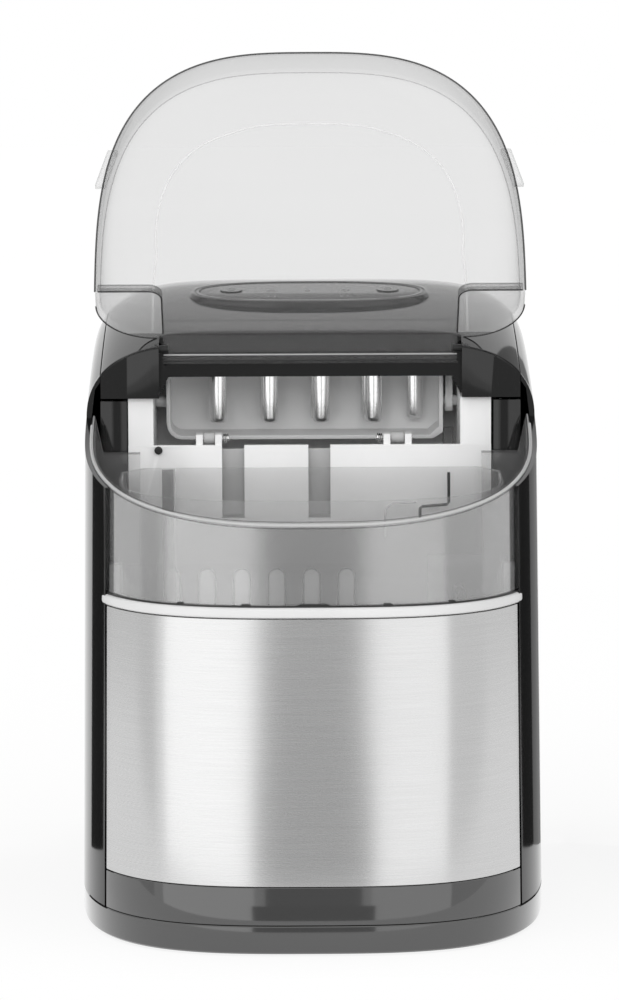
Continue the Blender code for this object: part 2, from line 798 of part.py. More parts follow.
def make_inner_liner():
    """White tank in front, ice chamber behind the slotted bar."""
    outer = 4.9
    inner = 7.2
    back = BAR_DEPTH + SKIN
    rings = [tank_loop(outer, back, TANK_FLOOR), tank_loop(outer, back, BAND_TOP),
             tank_loop(inner, BAR_DEPTH, BAND_TOP), tank_loop(inner, BAR_DEPTH, TANK_FLOOR + 3.0)]
    liner = loft("inner_liner", rings, white_plastic())
    floor = 175.0
    cheek_top = SHOULDER_BOTTOM - 0.4
    left = CHEEK_LEFT - SKIN
    right = CHEEK_RIGHT + SKIN
    nudge = 0.1
    front = (BAR_DEPTH + nudge, back - nudge)
    join_box(liner, (-CHEEK_OUTER - 1.0, CHEEK_OUTER), front, (floor - 6.0, BAR_TOP))
    front = (front[0] + nudge, front[1] - nudge)
    cheeks = ((-CHEEK_OUTER - 1.0 + nudge, CHEEK_LEFT - nudge),
              (CHEEK_RIGHT + nudge, CHEEK_OUTER - nudge))
    for cheek in cheeks:
        join_box(liner, cheek, front, (240.0, cheek_top))
    for side_wall in ((left, CHEEK_LEFT), (CHEEK_RIGHT, right)):
        join_box(liner, side_wall, (BAR_DEPTH + 1.0, CHAMBER_REAR),
                 (floor - 3.0, cheek_top - nudge))
    join_box(liner, (left + nudge, right - nudge), (CHAMBER_REAR - SKIN, CHAMBER_REAR - nudge),
             (floor - 2.0, 281.5))
    join_box(liner, (left + 2 * nudge, right - 2 * nudge),
             (BAR_DEPTH + 1.2, CHAMBER_REAR - 2 * nudge), (floor, floor + SKIN))
    for slot in ((-47.5, -35.5), (-1.3, 10.5)):
        cut_box(liner, slot, (BAR_DEPTH - 6.0, back + 6.0), (205.0, BAR_TOP + 10.0))
    for start, end in KNUCKLES:
        for x in (start - LUG_GAP - LUG_WIDTH, end + LUG_GAP):
            lug = (x, x + LUG_WIDTH)
            join_box(liner, lug, (BAR_DEPTH + 1.1, 157.6), (BAR_TOP - 2.0, 250.0))
        span = (start - LUG_GAP - LUG_WIDTH - 1.0, end + LUG_GAP + LUG_WIDTH + 1.0)
        cut(liner, rod("cutter", FLAP_PIN + GAP, span, FLAP_AXIS, "x", white_plastic()))
    for side in (-1, 1):
        for d in (45.0, 118.0):
            x = sorted((side * 78.0, side * 84.0)) if d < 60.0 else sorted((side * 52.0, side * 58.0))
            join_box(liner, x, (d, d + 6.0), (TANK_FLOOR + 1.0, BASKET_BOTTOM - GAP))
    axle = rod("cutter", SHAFT_RADIUS + 0.4, (-95.0, 95.0), TRAY_AXIS, "x", white_plastic())
    cut(liner, axle)
    cut(liner, rod("cutter", 3.6, (140.0, 152.0), (78.3, 168.0), "depth", white_plastic()))
    cut(liner, rod("cutter", 3.6, (170.0, 182.0), (76.0, 222.0), "z", white_plastic()))
    cut(liner, rod("cutter", 5.4, (144.0, 152.0), (DRAIN[0], 69.0), "depth", white_plastic()))
    cut(liner, rod("cutter", 1.3, (144.0, 152.0), LINER_SCREW, "depth", white_plastic()))
    weld(liner)


def make_liner_screw():
    profile = ((1.0, 151.0), (1.0, BAR_DEPTH - 0.3), (2.2, BAR_DEPTH - 0.4), (2.0, BAR_DEPTH - 1.6),
               (0.9, BAR_DEPTH - 2.0))
    turned("liner_screw", profile, LINER_SCREW, "depth", rubber(), sides=12)


def basket_loop(inset, rear, z):
    half = BASKET_HALF - inset
    points = [(half, rear - 16.0)]
    for i in range(17):
        angle = math.pi * i / 16
        c, s = math.cos(angle), max(math.sin(angle), 0.0)
        points.append((half * math.copysign(abs(c) ** 0.667, c),
                       110.0 - (98.0 - inset) * s ** 0.667))
    points.append((-half, rear - 16.0))
    points += [(-half + 12.0, rear), (half - 12.0, rear)]
    return [(x, d, z) for x, d in points]


def make_ice_basket():
    skin = BASKET_SKIN
    rear = BASKET_REAR
    basket = loft("ice_basket", [basket_loop(0.0, rear, BASKET_BOTTOM),
                                 basket_loop(0.0, rear, BASKET_TOP)], smoke())
    cavity = loft("cavity", [basket_loop(skin, rear - skin, BASKET_BOTTOM + skin),
                             basket_loop(skin, rear - skin, BASKET_TOP + 5.0)], smoke())
    cut_box(cavity, (PUMP_BAY[0] - skin, 130.0), (PUMP_BAY[1] - skin, 160.0),
            (BASKET_BOTTOM - 5.0, PUMP_BAY_TOP + skin))
    cut(basket, cavity)
    cut_box(basket, (PUMP_BAY[0], 130.0), (PUMP_BAY[1], 160.0),
            (BASKET_BOTTOM - 5.0, PUMP_BAY_TOP))
    for i in range(6):
        x = -70.6 + i * 18.2
        arch = [(x - 3.7, 150.0), (x + 3.7, 150.0)]
        arch += [(x + 3.7 * math.cos(math.pi * k / 6), 174.5 + 3.7 * math.sin(math.pi * k / 6))
                 for k in range(7)]
        cut(basket, prism("cutter", arch, (rear - 8.0, rear + 4.0), "depth", smoke()))
    return basket


# ---------------------------------------------------------------- freezing unit, tray, flap

def make_evaporator():
    unit = block("evaporator_fingers", (-60.0, 66.0), (183.0, 212.0), (284.0, 289.0), chrome())
    r = FINGER_RADIUS
    profile = ((0.25 * r, 0.0), (0.65 * r, 0.6), (0.92 * r, 2.0), (r, 4.5), (r, 35.0))
    for depth, row in (FRONT_FINGERS, REAR_FINGERS):
        for x in row:
            heights = [(radius, FINGER_BOTTOM + h) for radius, h in profile]
            join(unit, turned("finger", heights, (x, depth), "z", chrome(), sides=12))
    block("evaporator_insulation", (-64.0, 70.0), (180.0, 226.0), (289.4, 296.5), foam(), bevel=1.5)


def tray_loop(inset, depth):
    """Outline of the tray seen from the front, with a round and a chamfered lower corner."""
    left, right = TRAY_LEFT + inset, TRAY_RIGHT - inset
    low, high = TRAY_BOTTOM + inset, TRAY_TOP - inset
    radius = 8.6 - inset
    corner = [(left + radius - radius * math.cos(math.pi / 2 * i / 4),
               low + radius - radius * math.sin(math.pi / 2 * i / 4)) for i in range(5)]
    points = corner + [(right - 5.5, low), (right, low + 3.5 + inset / 2), (right, high),
                       (left, high)]
    return [(x, depth, z) for x, z in points]


def make_water_tray():
    skin = 2.0
    rings = [tray_loop(0.0, TRAY_REAR), tray_loop(0.0, TRAY_FRONT), tray_loop(skin, TRAY_FRONT),
             tray_loop(skin, TRAY_REAR - 2.3)]
    tray = loft("water_tray", rings, grey_plastic(), origin=(0.0, *TRAY_AXIS))
    cut_box(tray, (TRAY_LEFT + skin, TRAY_RIGHT - skin), (TRAY_FRONT - 6.0, 211.0),
            (TRAY_TOP - 4.0, TRAY_TOP + 6.0))
    join(tray, rod("stub", SHAFT_RADIUS, (TRAY_LEFT + 1.0, -86.2), TRAY_AXIS, "x", grey_plastic()))
    join(tray, rod("stub", SHAFT_RADIUS, (TRAY_RIGHT - 1.0, 85.2), TRAY_AXIS, "x", grey_plastic()))
    return tray


def make_tray_drive():
    axis_d, axis_z = TRAY_AXIS
    arm = [(axis_d + 6.0 * math.cos(math.radians(a)), axis_z + 6.0 * math.sin(math.radians(a)))
           for a in range(150, 391, 30)]
    arm += [(axis_d + 4.0, axis_z + 17.0), (axis_d - 4.0, axis_z + 17.0)]
    lever = prism("tray_lever", arm, (73.4, 77.4), "x", white_plastic(), origin=(0.0, *TRAY_AXIS))
    cut(lever, rod("cutter", SHAFT_RADIUS + 0.3, (70.0, 80.0), TRAY_AXIS, "x", white_plastic()))
    block("tray_motor", (85.6, 96.0), (184.0, 212.0), (246.0, 278.0), white_plastic(), bevel=2.0)


def make_ice_flap():
    axis_d, axis_z = FLAP_AXIS
    flap = block("ice_flap", (-66.0, 58.0), (154.6, 156.4), (206.0, 241.4), grey_plastic(),
                 origin=(0.0, *FLAP_AXIS))
    for number, (start, end) in enumerate(KNUCKLES):
        side = ("left", "right")[number]
        join_box(flap, (start, end), (154.6, 156.4), (240.0, 245.5))
        join(flap, rod("knuckle", 3.3, (start, end), FLAP_AXIS, "x", grey_plastic(), sides=14))
        cut(flap, rod("cutter", FLAP_PIN + GAP, (start - 2.0, end + 2.0), FLAP_AXIS, "x",
                      grey_plastic(), sides=12))
        inward = 1 if start < 0 else -1
        edges = sorted((start, end), key=lambda x: inward * x)
        span = sorted((edges[0] - inward * (LUG_WIDTH + 1.0), edges[1] + inward * SPRING_REACH))
        rod("flap_hinge_pin_" + side, FLAP_PIN, span, FLAP_AXIS, "x", chrome(), sides=12,
            origin=(start, *FLAP_AXIS))
        turns = 2.5
        steps = 25
        first = edges[1] + inward * (LUG_GAP + LUG_WIDTH + 0.8)
        coil = [(first + inward * 2.5 * i / steps,
                 axis_d + 2.4 * math.cos(2 * math.pi * turns * i / steps),
                 axis_z + 2.4 * math.sin(2 * math.pi * turns * i / steps))
                for i in range(steps + 1)]
        tube("flap_spring_" + side, coil, 0.38, chrome(), sides=5)


# ---------------------------------------------------------------- pump and machinery

def make_pump():
    x, d = PUMP_BAY
    back = WINDOW_REAR - WINDOW_SKIN - GAP
    cover = block("pump_cover", (x + 2.0, 98.0), (d + 2.0, back),
                  (TANK_FLOOR + 3.3, PUMP_BAY_TOP - 2.0), smoke(), bevel=1.0)
    cut_box(cover, (x + 4.0, 96.0), (d + 4.0, back - 2.0), (TANK_FLOOR, PUMP_BAY_TOP - 4.0))
    cut(cover, rod("cutter", 3.6, (136.0, 146.0), (78.9, 168.0), "depth", smoke()))
    pump = block("water_pump", (69.0, 91.0), (116.0, 136.0), (TANK_FLOOR + 3.3, 92.0),
                 grey_plastic(), bevel=2.0)
    join(pump, rod("outlet", 4.0, (90.0, 97.0), (80.0, 124.0), "z", grey_plastic()))
    route = [(80.0, 124.0, 97.4), (80.0, 124.0, 125.0), (80.0, 124.5, 152.0), (79.5, 130.0, 165.0),
             (78.6, 141.0, 168.0), (77.8, 152.0, 168.0), (76.4, 190.0, 167.0), (76.0, 212.0, 167.5),
             (76.0, 221.0, 173.0), (76.0, 222.0, 185.0), (76.0, 222.0, 215.0), (76.0, 222.0, 244.0)]
    tube("water_tube", smooth_route(route, 4), 3.0, frosted())
    block("tank_insulation", (-92.0, 92.0), (34.0, 140.0), (40.0, TANK_FLOOR - 0.4), foam(), bevel=3.0)


def make_compressor():
    profile = ((30.0, 18.0), (38.0, 23.0), (42.0, 32.0), (42.0, 104.0), (38.0, 118.0),
               (27.0, 127.0), (12.0, 131.0))
    body = turned("compressor", profile, COMPRESSOR_CENTRE, "z", dark_metal(), sides=20)
    spots = ((-20.0, 234.0), (62.0, 234.0), (20.0, 318.0))
    plate = [(-30.0, 224.0), (72.0, 224.0), (72.0, 242.0), (32.0, 328.0), (8.0, 328.0),
             (-30.0, 242.0)]
    join(body, prism("plate", plate, (14.5, 18.6), "z", dark_metal(), smooth=False))
    for number, spot in enumerate(spots, 1):
        turned("compressor_mount_%d" % number, ((7.0, 4.8), (5.0, 9.5), (7.0, 14.2)), spot, "z",
               rubber(), sides=12)
    rod("filter_drier", 8.0, (30.0, 104.0), (88.0, 250.0), "z", copper(), sides=14)


def make_pipes():
    suction = [(56.0, 212.5, 286.5), (58.0, 226.0, 286.7), (60.0, 240.0, 285.0),
               (62.0, 252.0, 270.0), (62.0, 258.0, 220.0), (58.0, 262.0, 165.0),
               (46.0, 268.0, 140.0), (42.0, 270.0, 129.0)]
    tube("suction_pipe", smooth_route(suction, 4), 2.6, copper())
    discharge = [(0.0, 284.0, 128.5), (-6.0, 292.0, 146.0), (-30.0, 306.0, 152.0),
                 (-70.0, 314.0, 148.0), (-98.0, 306.0, 140.0), (-105.0, 290.0, 124.5)]
    tube("discharge_pipe", smooth_route(discharge, 4), 2.6, copper())


def make_cooling():
    """Condenser behind the left vents, with its shroud, fan and motor."""
    back, tip = -112.0, -98.5
    comb = [(back, 29.0)]
    for i in range(12):
        z = 29.0 + i * 8.0
        comb += [(tip, z), (tip, z + 3.0), (back + 1.8, z + 3.0)]
        if i < 11:
            comb.append((back + 1.8, z + 8.0))
    comb[-1] = (back, 29.0 + 11 * 8.0 + 3.0)
    prism("condenser", comb, (222.0, 306.0), "depth", steel(), smooth=False)
    depth, height = FAN_CENTRE
    shroud = block("fan_shroud", (-96.6, -94.0), (222.0, 306.0), (20.0, 122.0), grey_plastic())
    cut(shroud, rod("cutter", 37.0, (-100.0, -90.0), FAN_CENTRE, "x", grey_plastic(), sides=28))
    fan = rod("fan_blade", 10.0, (-90.0, -81.0), FAN_CENTRE, "x", rubber(), sides=20,
              origin=(-85.5, *FAN_CENTRE))
    pitch = math.radians(32)
    blades = 5
    for k in range(blades):
        angle = 2 * math.pi * k / blades
        outward = Vector((0.0, math.cos(angle), math.sin(angle)))
        along = Vector((0.0, -math.sin(angle), math.cos(angle)))
        chord = along * math.cos(pitch) + Vector((1.0, 0.0, 0.0)) * math.sin(pitch)
        normal = outward.cross(chord)
        centre = Vector((-85.5, depth, height))
        rings = []
        for reach, half in ((8.0, 5.0), (20.0, 8.0), (34.0, 7.0)):
            middle = centre + outward * reach
            rings.append([tuple(middle + chord * a * half + normal * b * 0.7)
                          for a, b in ((-1, -1), (1, -1), (1, 1), (-1, 1))])
        join(fan, loft("blade", rings, rubber()))
    turned("fan_motor", ((6.0, -80.4), (16.0, -76.0), (16.0, -54.0), (8.0, -51.0)), FAN_CENTRE,
           "x", dark_metal(), sides=18)
    join_box(shroud, (-96.0, -58.0), (260.0, 268.0), (20.5, 24.0))
    join_box(shroud, (-72.0, -58.0), (260.0, 268.0), (21.0, height - 16.4))


def make_rear_fittings():
    profile = ((7.1, 328.0), (7.1, 338.7), (9.0, 338.8), (9.0, DEPTH - 0.1))
    turned("power_inlet", profile, INLET, "depth", rubber())
    for number, screw in enumerate(REAR_SCREWS, 1):
        profile = ((1.5, 330.0), (1.5, 338.7), (3.4, 338.8), (3.0, DEPTH - 0.1))
        turned("rear_screw_%d" % number, profile, screw, "depth", chrome(), sides=12)
    profile = ((5.4, 318.0), (6.0, 320.0), (6.0, 335.5), (10.1, 335.6), (10.1, DEPTH - 0.2))
    turned("drain_cap", profile, DRAIN, "depth", rubber(),
           origin=(DRAIN[0], 335.5, DRAIN[1]))
    route = [(DRAIN[0], 145.0, 69.0), (DRAIN[0], 160.0, 69.0), (DRAIN[0], 185.0, 64.0),
             (DRAIN[0], 230.0, 52.0), (DRAIN[0], 270.0, 48.5), (DRAIN[0], 305.6, 48.0)]
    hose = tube("drain_hose", smooth_route(route, 3), 5.0, white_plastic())
    join(hose, rod("spout", 8.8, (304.0, 335.2), DRAIN, "depth", white_plastic()))
    cut(hose, rod("cutter", 6.4, (312.0, 340.0), DRAIN, "depth", white_plastic()))
    block("control_board", (-48.0, 48.0), (232.0, 288.0), (299.0, 300.6), green_board())


def clear_scene():
    for obj in list(bpy.data.objects):
        bpy.data.objects.remove(obj, do_unlink=True)


def main():
    clear_scene()
    make_base_pan()
    make_feet()
    make_front_trim_band()
    make_front_panel()
    make_window_trim()
    make_front_window()
    make_left_side_panel()
    make_side_panel("right_side_panel", 1)
    make_rear_panel()
    cover = make_top_cover()
    make_inner_panels()
    make_control_panel(cover)
    make_lid()
    make_lid_tabs()
    make_lid_pins(cover)
    make_inner_liner()
    make_liner_screw()
    make_ice_basket()
    make_evaporator()
    make_water_tray()
    make_tray_drive()
    make_ice_flap()
    make_pump()
    make_compressor()
    make_pipes()
    make_cooling()
    make_rear_fittings()


main()
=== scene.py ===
"""Looks for the countertop ice maker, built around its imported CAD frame.

Working units are millimetres in (x, depth, z), with depth measured back from the front face.
place() turns them into the frame's metres.
"""
from math import acos, asin, copysign, cos, hypot, pi, radians, sin, sqrt, tan

import bmesh
import bpy
from mathutils import Matrix, Vector


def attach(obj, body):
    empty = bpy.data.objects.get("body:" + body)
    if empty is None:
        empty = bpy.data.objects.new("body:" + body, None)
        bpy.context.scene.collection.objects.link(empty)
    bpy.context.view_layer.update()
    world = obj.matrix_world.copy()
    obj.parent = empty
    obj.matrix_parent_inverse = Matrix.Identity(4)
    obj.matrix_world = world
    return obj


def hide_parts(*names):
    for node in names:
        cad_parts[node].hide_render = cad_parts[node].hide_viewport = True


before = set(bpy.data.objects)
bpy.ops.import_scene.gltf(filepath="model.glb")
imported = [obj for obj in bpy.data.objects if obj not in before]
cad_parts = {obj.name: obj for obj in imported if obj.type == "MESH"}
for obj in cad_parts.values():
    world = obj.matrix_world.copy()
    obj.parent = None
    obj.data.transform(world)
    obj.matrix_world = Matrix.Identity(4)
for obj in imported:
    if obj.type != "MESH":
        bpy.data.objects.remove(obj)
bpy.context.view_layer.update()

MM = 0.001
GAP = 0.3  # seam between neighbouring shells
SKIN = 2.5  # wall of the black shells

# Plan of the body: a rounded nose, straight sides and round rear corners.
DEPTH = 340.0
HALF_WIDTH = 119.5
NOSE_DEPTH = 145.0
NOSE_POWER = 3.05
REAR_RADIUS = 25.0
REAR_FLANGE_X = HALF_WIDTH - REAR_RADIUS
FLARE = 0.0275  # how much wider the body is at the floor than at FLARE_HEIGHT
FLARE_HEIGHT = 245.0
SEAM_INSET = 7.4
FRONT_END = 46.0  # depth where the front bands end and the side panels begin

# Levels of the front, from the floor up.
SKIRT_BOTTOM = 1.0
PAN_TOP = 15.9
STEEL_BOTTOM = 36.5
STEEL_TOP = 174.8
BAND_TOP = 180.8
CLIP_X = (-68.0, -34.0, 2.0, 38.5, 72.0)

# Window.
WINDOW_FRONT = 219.4
WINDOW_INSET = 2.8
WINDOW_SKIN = 2.0
WINDOW_REAR = 143.6
FLANGE_INNER = 91.0
BAR_TOP = 244.5

# Roof, its two shoulders and the rear panel below it.
CROWN = 321.0
CROWN_DEPTH = 255.0
ROOF_DROP = 41.0
SHOULDER_FRONT = 141.3
SHOULDER_BOTTOM = 270.4
SHOULDER_INNER = 80.7
COVER_FRONT = 158.0
FASCIA_BOTTOM = 280.0
REAR_PANEL_TOP = 300.0
REAR_LIP_DROP = (8.0, 28.0)  # below the rear panel's top: behind it, and round the corners
VENT_BOTTOM, VENT_PITCH, VENT_GAP = 42.0, 9.0, 3.6

# Oval panel on the roof.
PANEL_CENTRE = 224.0
PANEL_TILT = tan(radians(5.7))
PANEL_LIFT = 1.6
KEY_X = 43.0
KEY_DEPTH = PANEL_CENTRE + 3.0
KEY_HOLE = 6.3

# Hood, drawn shut.
LID_PIVOT = (149.0, 296.0)
LID_OPEN = 131.0
LID_INSET = 6.0
LID_SKIN = 2.2
LID_REAR = 140.6
LID_LIP = 13.5
LID_REACH = 1.013
RIM_FRONT = 222.2
ROOF_LINE_START = (27.0, 255.0)
ROOF_LINE_SLOPE = 0.375
FLANGE_DEPTH = 4.2
TONGUE_HALF = 78.6
TONGUE_END = 155.4
TONGUE_SLOPE = 0.27
TONGUE_CORNER = 7.0

# Basket, with arched slots low in its rear wall.
BASKET_HALF = 101.0
BASKET_REAR = 140.0
BASKET_BOTTOM = 140.0
BASKET_TOP = 233.4
BASKET_SKIN = 2.0
SLOT_FIRST_X = -74.4
SLOT_PITCH = 18.64
SLOT_HALF = 3.7
SLOT_BOTTOM, SLOT_SPRING = 150.0, 174.5
RIB_HALF = 4.6

# Freezing fingers, in two rows on a header.
FINGER_RADIUS = 4.6
FINGER_BOTTOM = 251.0
FRONT_FINGERS = (190.0, (-50.0, -22.0, 6.0, 34.5))
REAR_FINGERS = (205.0, (-51.0, -23.4, 4.5, 32.0, 57.0))

# Studio and camera, in metres and degrees.
FLOOR_FRONT = -0.215
# Cards that only show in reflections: name, centre, reach, azimuths, heights and strength.
FRONT = (0.0, -0.15)
CARDS = (
    ("dark_card", FRONT, 2.6, (-6.0, 6.5), (-2.5, 2.0), 0.45),
    ("left_card", FRONT, 2.4, (-60.0, -9.0), (-2.5, 2.0), 1.5),
    ("right_card", FRONT, 2.4, (9.0, 50.0), (-2.5, 2.0), 1.3),
    ("low_dark_card", FRONT, 2.3, (-9.8, 10.2), (-2.5, -0.49), 0.42),
    ("left_wall", FRONT, 2.5, (-130.0, -68.0), (-2.5, 2.0), 0.75),
    ("right_wall", FRONT, 2.5, (50.0, 130.0), (-2.5, 2.0), 0.82),
    ("left_flag", (-0.11, -0.1), 0.2, (-152.0, -128.0), (0.0, 0.5), 0.04),
    ("right_flag", (0.11, -0.1), 0.2, (128.0, 150.0), (0.0, 0.5), 0.04),
    ("right_shade", (0.11, -0.1), 0.2, (150.0, 170.0), (0.0, 0.5), 0.3),
)
CAMERA_PLACE = (-0.0092, -2.456, 0.5669)
CAMERA_TURN = (pi / 2 - 0.1438, 0.0044, -0.0041)
CAMERA_LENS = 165.2


def place(x, depth, z):
    return Vector((x, depth - DEPTH / 2, z)) * MM


# ---------------------------------------------------------------- body surfaces

def flare(z):
    return 1.0 + FLARE * (1.0 - z / FLARE_HEIGHT)


def nose_point(angle, inset):
    """Point on the front curve: angle 0 is the right side, 90 degrees the front centre."""
    c = cos(angle)
    s = max(sin(angle), 0.0)
    x = HALF_WIDTH * abs(c) ** (2 / NOSE_POWER)
    back = NOSE_DEPTH * s ** (2 / NOSE_POWER)
    normal = Vector((x ** (NOSE_POWER - 1) / HALF_WIDTH ** NOSE_POWER,
                     -back ** (NOSE_POWER - 1) / NOSE_DEPTH ** NOSE_POWER)).normalized()
    px = x - normal.x * inset
    return (-px if c < 0 else px), NOSE_DEPTH - back - normal.y * inset


def nose_angle(depth):
    if depth >= NOSE_DEPTH:
        return 0.0
    return asin(((NOSE_DEPTH - depth) / NOSE_DEPTH) ** (NOSE_POWER / 2))


def front_angles(depth_end, steps):
    start = nose_angle(depth_end)
    return [start + (pi - 2 * start) * i / steps for i in range(steps + 1)]


def rear_corner(inset, side, steps=14):
    radius = REAR_RADIUS - inset
    turns = [pi / 2 * i / steps for i in range(steps + 1)]
    return [(side * (REAR_FLANGE_X + radius * cos(t)),
             DEPTH - REAR_RADIUS + radius * sin(t)) for t in turns]


def outline(inset, z, steps=110):
    front = [nose_point(a, inset) for a in front_angles(NOSE_DEPTH, steps)]
    points = front + rear_corner(inset, -1) + rear_corner(inset, 1)[::-1]
    return [(x * flare(z), d) for x, d in points]


def rim_height(depth):
    """Rim of the shut hood."""
    return RIM_FRONT + 1.55 * sqrt(max(depth, 0.0)) + 0.1 * max(depth, 0.0)


def window_height(depth):
    """Rim of the window, which climbs further at its rear ends."""
    climb = 0.0019 * max(depth - 90.0, 0.0) ** 2
    return WINDOW_FRONT + 1.9 * sqrt(max(depth, 0.0)) + 0.1 * max(depth, 0.0) + climb


def ridge(depth):
    """Height of the roof along its middle."""
    depth = max(depth, SHOULDER_FRONT)
    if depth < CROWN_DEPTH:
        return CROWN - 17.1 * ((CROWN_DEPTH - depth) / 98.0) ** 1.5
    fall = 6.0 * ((depth - CROWN_DEPTH) / 70.0) ** 2
    edge = max(depth - 325.0, 0.0) / 15.0
    return CROWN - fall - 13.0 * (1 - sqrt(max(1 - min(edge, 1.0) ** 2, 0.0)))


def roof_fall(x):
    """How far the roof falls away towards its sides."""
    ratio = min(abs(x) / HALF_WIDTH, 1.0)
    return ROOF_DROP * (1 - (1 - ratio ** 5.4) ** (1 / 2.3))


def roof(x, depth):
    return ridge(depth) - roof_fall(x)


# ---------------------------------------------------------------- mesh helpers

def add_object(name, data):
    obj = bpy.data.objects.new(name, data)
    bpy.context.scene.collection.objects.link(obj)
    return obj


def rework(mesh, edit):
    """Run an edit on a mesh in its bmesh form."""
    work = bmesh.new()
    work.from_mesh(mesh)
    edit(work)
    work.to_mesh(mesh)
    work.free()


def bake(obj, sharp):
    """Apply an object's modifiers and shade it, with edges above an angle kept sharp."""
    graph = bpy.context.evaluated_depsgraph_get()
    mesh = bpy.data.meshes.new_from_object(obj.evaluated_get(graph))
    obj.modifiers.clear()
    obj.data = mesh
    mesh.shade_smooth()
    mesh.set_sharp_from_angle(angle=radians(sharp))


def make(name, verts, faces, mat, body="cabinet", stands_for=(), angle=32.0):
    """Object from points in millimetres, riding on a CAD body."""
    mesh = bpy.data.meshes.new(name)
    mesh.from_pydata([place(*v) for v in verts], [], faces)
    rework(mesh, lambda work: bmesh.ops.recalc_face_normals(work, faces=work.faces))
    mesh.shade_smooth()
    mesh.set_sharp_from_angle(angle=radians(angle))
    obj = add_object(name, mesh)
    if body:
        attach(obj, body)
    if stands_for:
        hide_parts(*stands_for)
    if mat:
        mesh.materials.append(mat)
    return obj


def loft_data(rings, closed=False):
    """Skin over rings of points: capped at both ends, or closed into a loop."""
    size = len(rings[0])
    verts = [point for ring in rings for point in ring]
    faces = []
    count = len(rings)
    for r in range(count if closed else count - 1):
        low = r * size
        high = ((r + 1) % count) * size
        for i in range(size):
            j = (i + 1) % size
            faces.append((low + i, low + j, high + j, high + i))
    if not closed:
        faces.append(tuple(range(size)))
        faces.append(tuple(range((count - 1) * size, count * size)))
    return verts, faces


def loft(name, rings, mat, closed=False, **options):
    return make(name, *loft_data(rings, closed), mat, **options)


def extrude(outline, axis, ends):
    """Two rings: a flat outline set at both ends of an axis, 0 to 2 for x, depth and z."""
    return [[(*p[:axis], end, *p[axis:]) for p in outline] for end in ends]


def join(parts):
    """One pair of lists from several pairs of points and faces."""
    verts, faces = [], []
    for points, quads in parts:
        faces += [tuple(i + len(verts) for i in face) for face in quads]
        verts += points
    return verts, faces


def fillet(points, radius, steps=4):
    """Round the corners of a closed 2-D outline."""
    out = []
    count = len(points)
    for i in range(count):
        p = Vector(points[i])
        a = Vector(points[i - 1]) - p
        b = Vector(points[(i + 1) % count]) - p
        reach = min(radius, a.length * 0.45, b.length * 0.45)
        start = p + a.normalized() * reach
        end = p + b.normalized() * reach
        for s in range(steps + 1):
            t = s / steps
            q = start * (1 - t) ** 2 + p * 2 * t * (1 - t) + end * t * t
            out.append((q.x, q.y))
    return out


def band(name, section, depth_end, mat, steps=120, taper=0.0, **options):
    """Sweep a section of (inset, z) points round the front curve."""
    rings = []
    angles = front_angles(depth_end, steps)
    middle_z = sum(z for _, z in section) / len(section)
    middle_i = sum(i for i, _ in section) / len(section)
    for number, angle in enumerate(angles):
        near = min(number, steps - number) / max(taper, 1e-6)
        scale = sqrt(1 - (1 - near) ** 2) if near < 1 else 1.0
        scale = max(scale, 0.15)
        ring = []
        for inset, z in section:
            z = middle_z + (z - middle_z) * scale
            x, d = nose_point(angle, middle_i + (inset - middle_i) * scale)
            ring.append((x * flare(z), d, z))
        rings.append(ring)
    return loft(name, rings, mat, **options)


def soften(node, name, mat, body, width):
    """Bevelled copy of a CAD node that stands for it."""
    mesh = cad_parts[node].data.copy()
    mesh.materials.clear()
    mesh.materials.append(mat)

    def merge(work):
        bmesh.ops.remove_doubles(work, verts=work.verts[:], dist=2e-5)
        bmesh.ops.dissolve_limit(work, angle_limit=radians(2.0), verts=work.verts[:],
                                 edges=work.edges[:])
        for face in work.faces:
            face.material_index = 0

    rework(mesh, merge)
    obj = add_object(name, mesh)
    bevel = obj.modifiers.new("edge", "BEVEL")
    bevel.width = width * MM
    bevel.segments = 2
    bevel.limit_method = "ANGLE"
    bevel.angle_limit = radians(30.0)
    bake(obj, 40.0)
    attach(obj, body)
    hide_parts(node)


def cut(target, rings):
    """Take the solid that the rings span out of the target."""
    tool = loft("cutter", rings, None, body=None)
    modifier = target.modifiers.new("cut", "BOOLEAN")
    modifier.operation = "DIFFERENCE"
    modifier.solver = "EXACT"
    modifier.object = tool
    bake(target, 32.0)
    bpy.data.objects.remove(tool, do_unlink=True)


def mark(obj, index, mat, test):
    """Give the faces that pass the test, in millimetres, another material."""
    obj.data.materials.append(mat)
    for face in obj.data.polygons:
        centre = face.center / MM + Vector((0.0, DEPTH / 2, 0.0))
        if test(centre, face.normal):
            face.material_index = index


def rod_along(points, radius, sides=10):
    """Rings of a round bar that follows a list of points."""
    path = [Vector(p) for p in points]
    rings = []
    side = None
    for i, point in enumerate(path):
        tangent = (path[min(i + 1, len(path) - 1)] - path[max(i - 1, 0)]).normalized()
        if side is None:
            helper = Vector((0.0, 1.0, 0.0)) if abs(tangent.y) < 0.9 else Vector((1.0, 0.0, 0.0))
            side = tangent.cross(helper)
        side = (side - tangent * side.dot(tangent)).normalized()
        other = tangent.cross(side)
        turns = [2 * pi * k / sides for k in range(sides)]
        rings.append([tuple(point + (side * cos(t) + other * sin(t)) * radius)
                      for t in turns])
    return rings


# ---------------------------------------------------------------- materials

def new_material(name):
    mat = bpy.data.materials.new(name)
    mat.use_nodes = True
    tree = mat.node_tree
    return mat, tree, tree.nodes["Principled BSDF"]


def dial(node, **values):
    """Set a node's sockets; an underscore stands for a space in the socket's name."""
    for socket, value in values.items():
        node.inputs[socket.replace("_", " ")].default_value = value


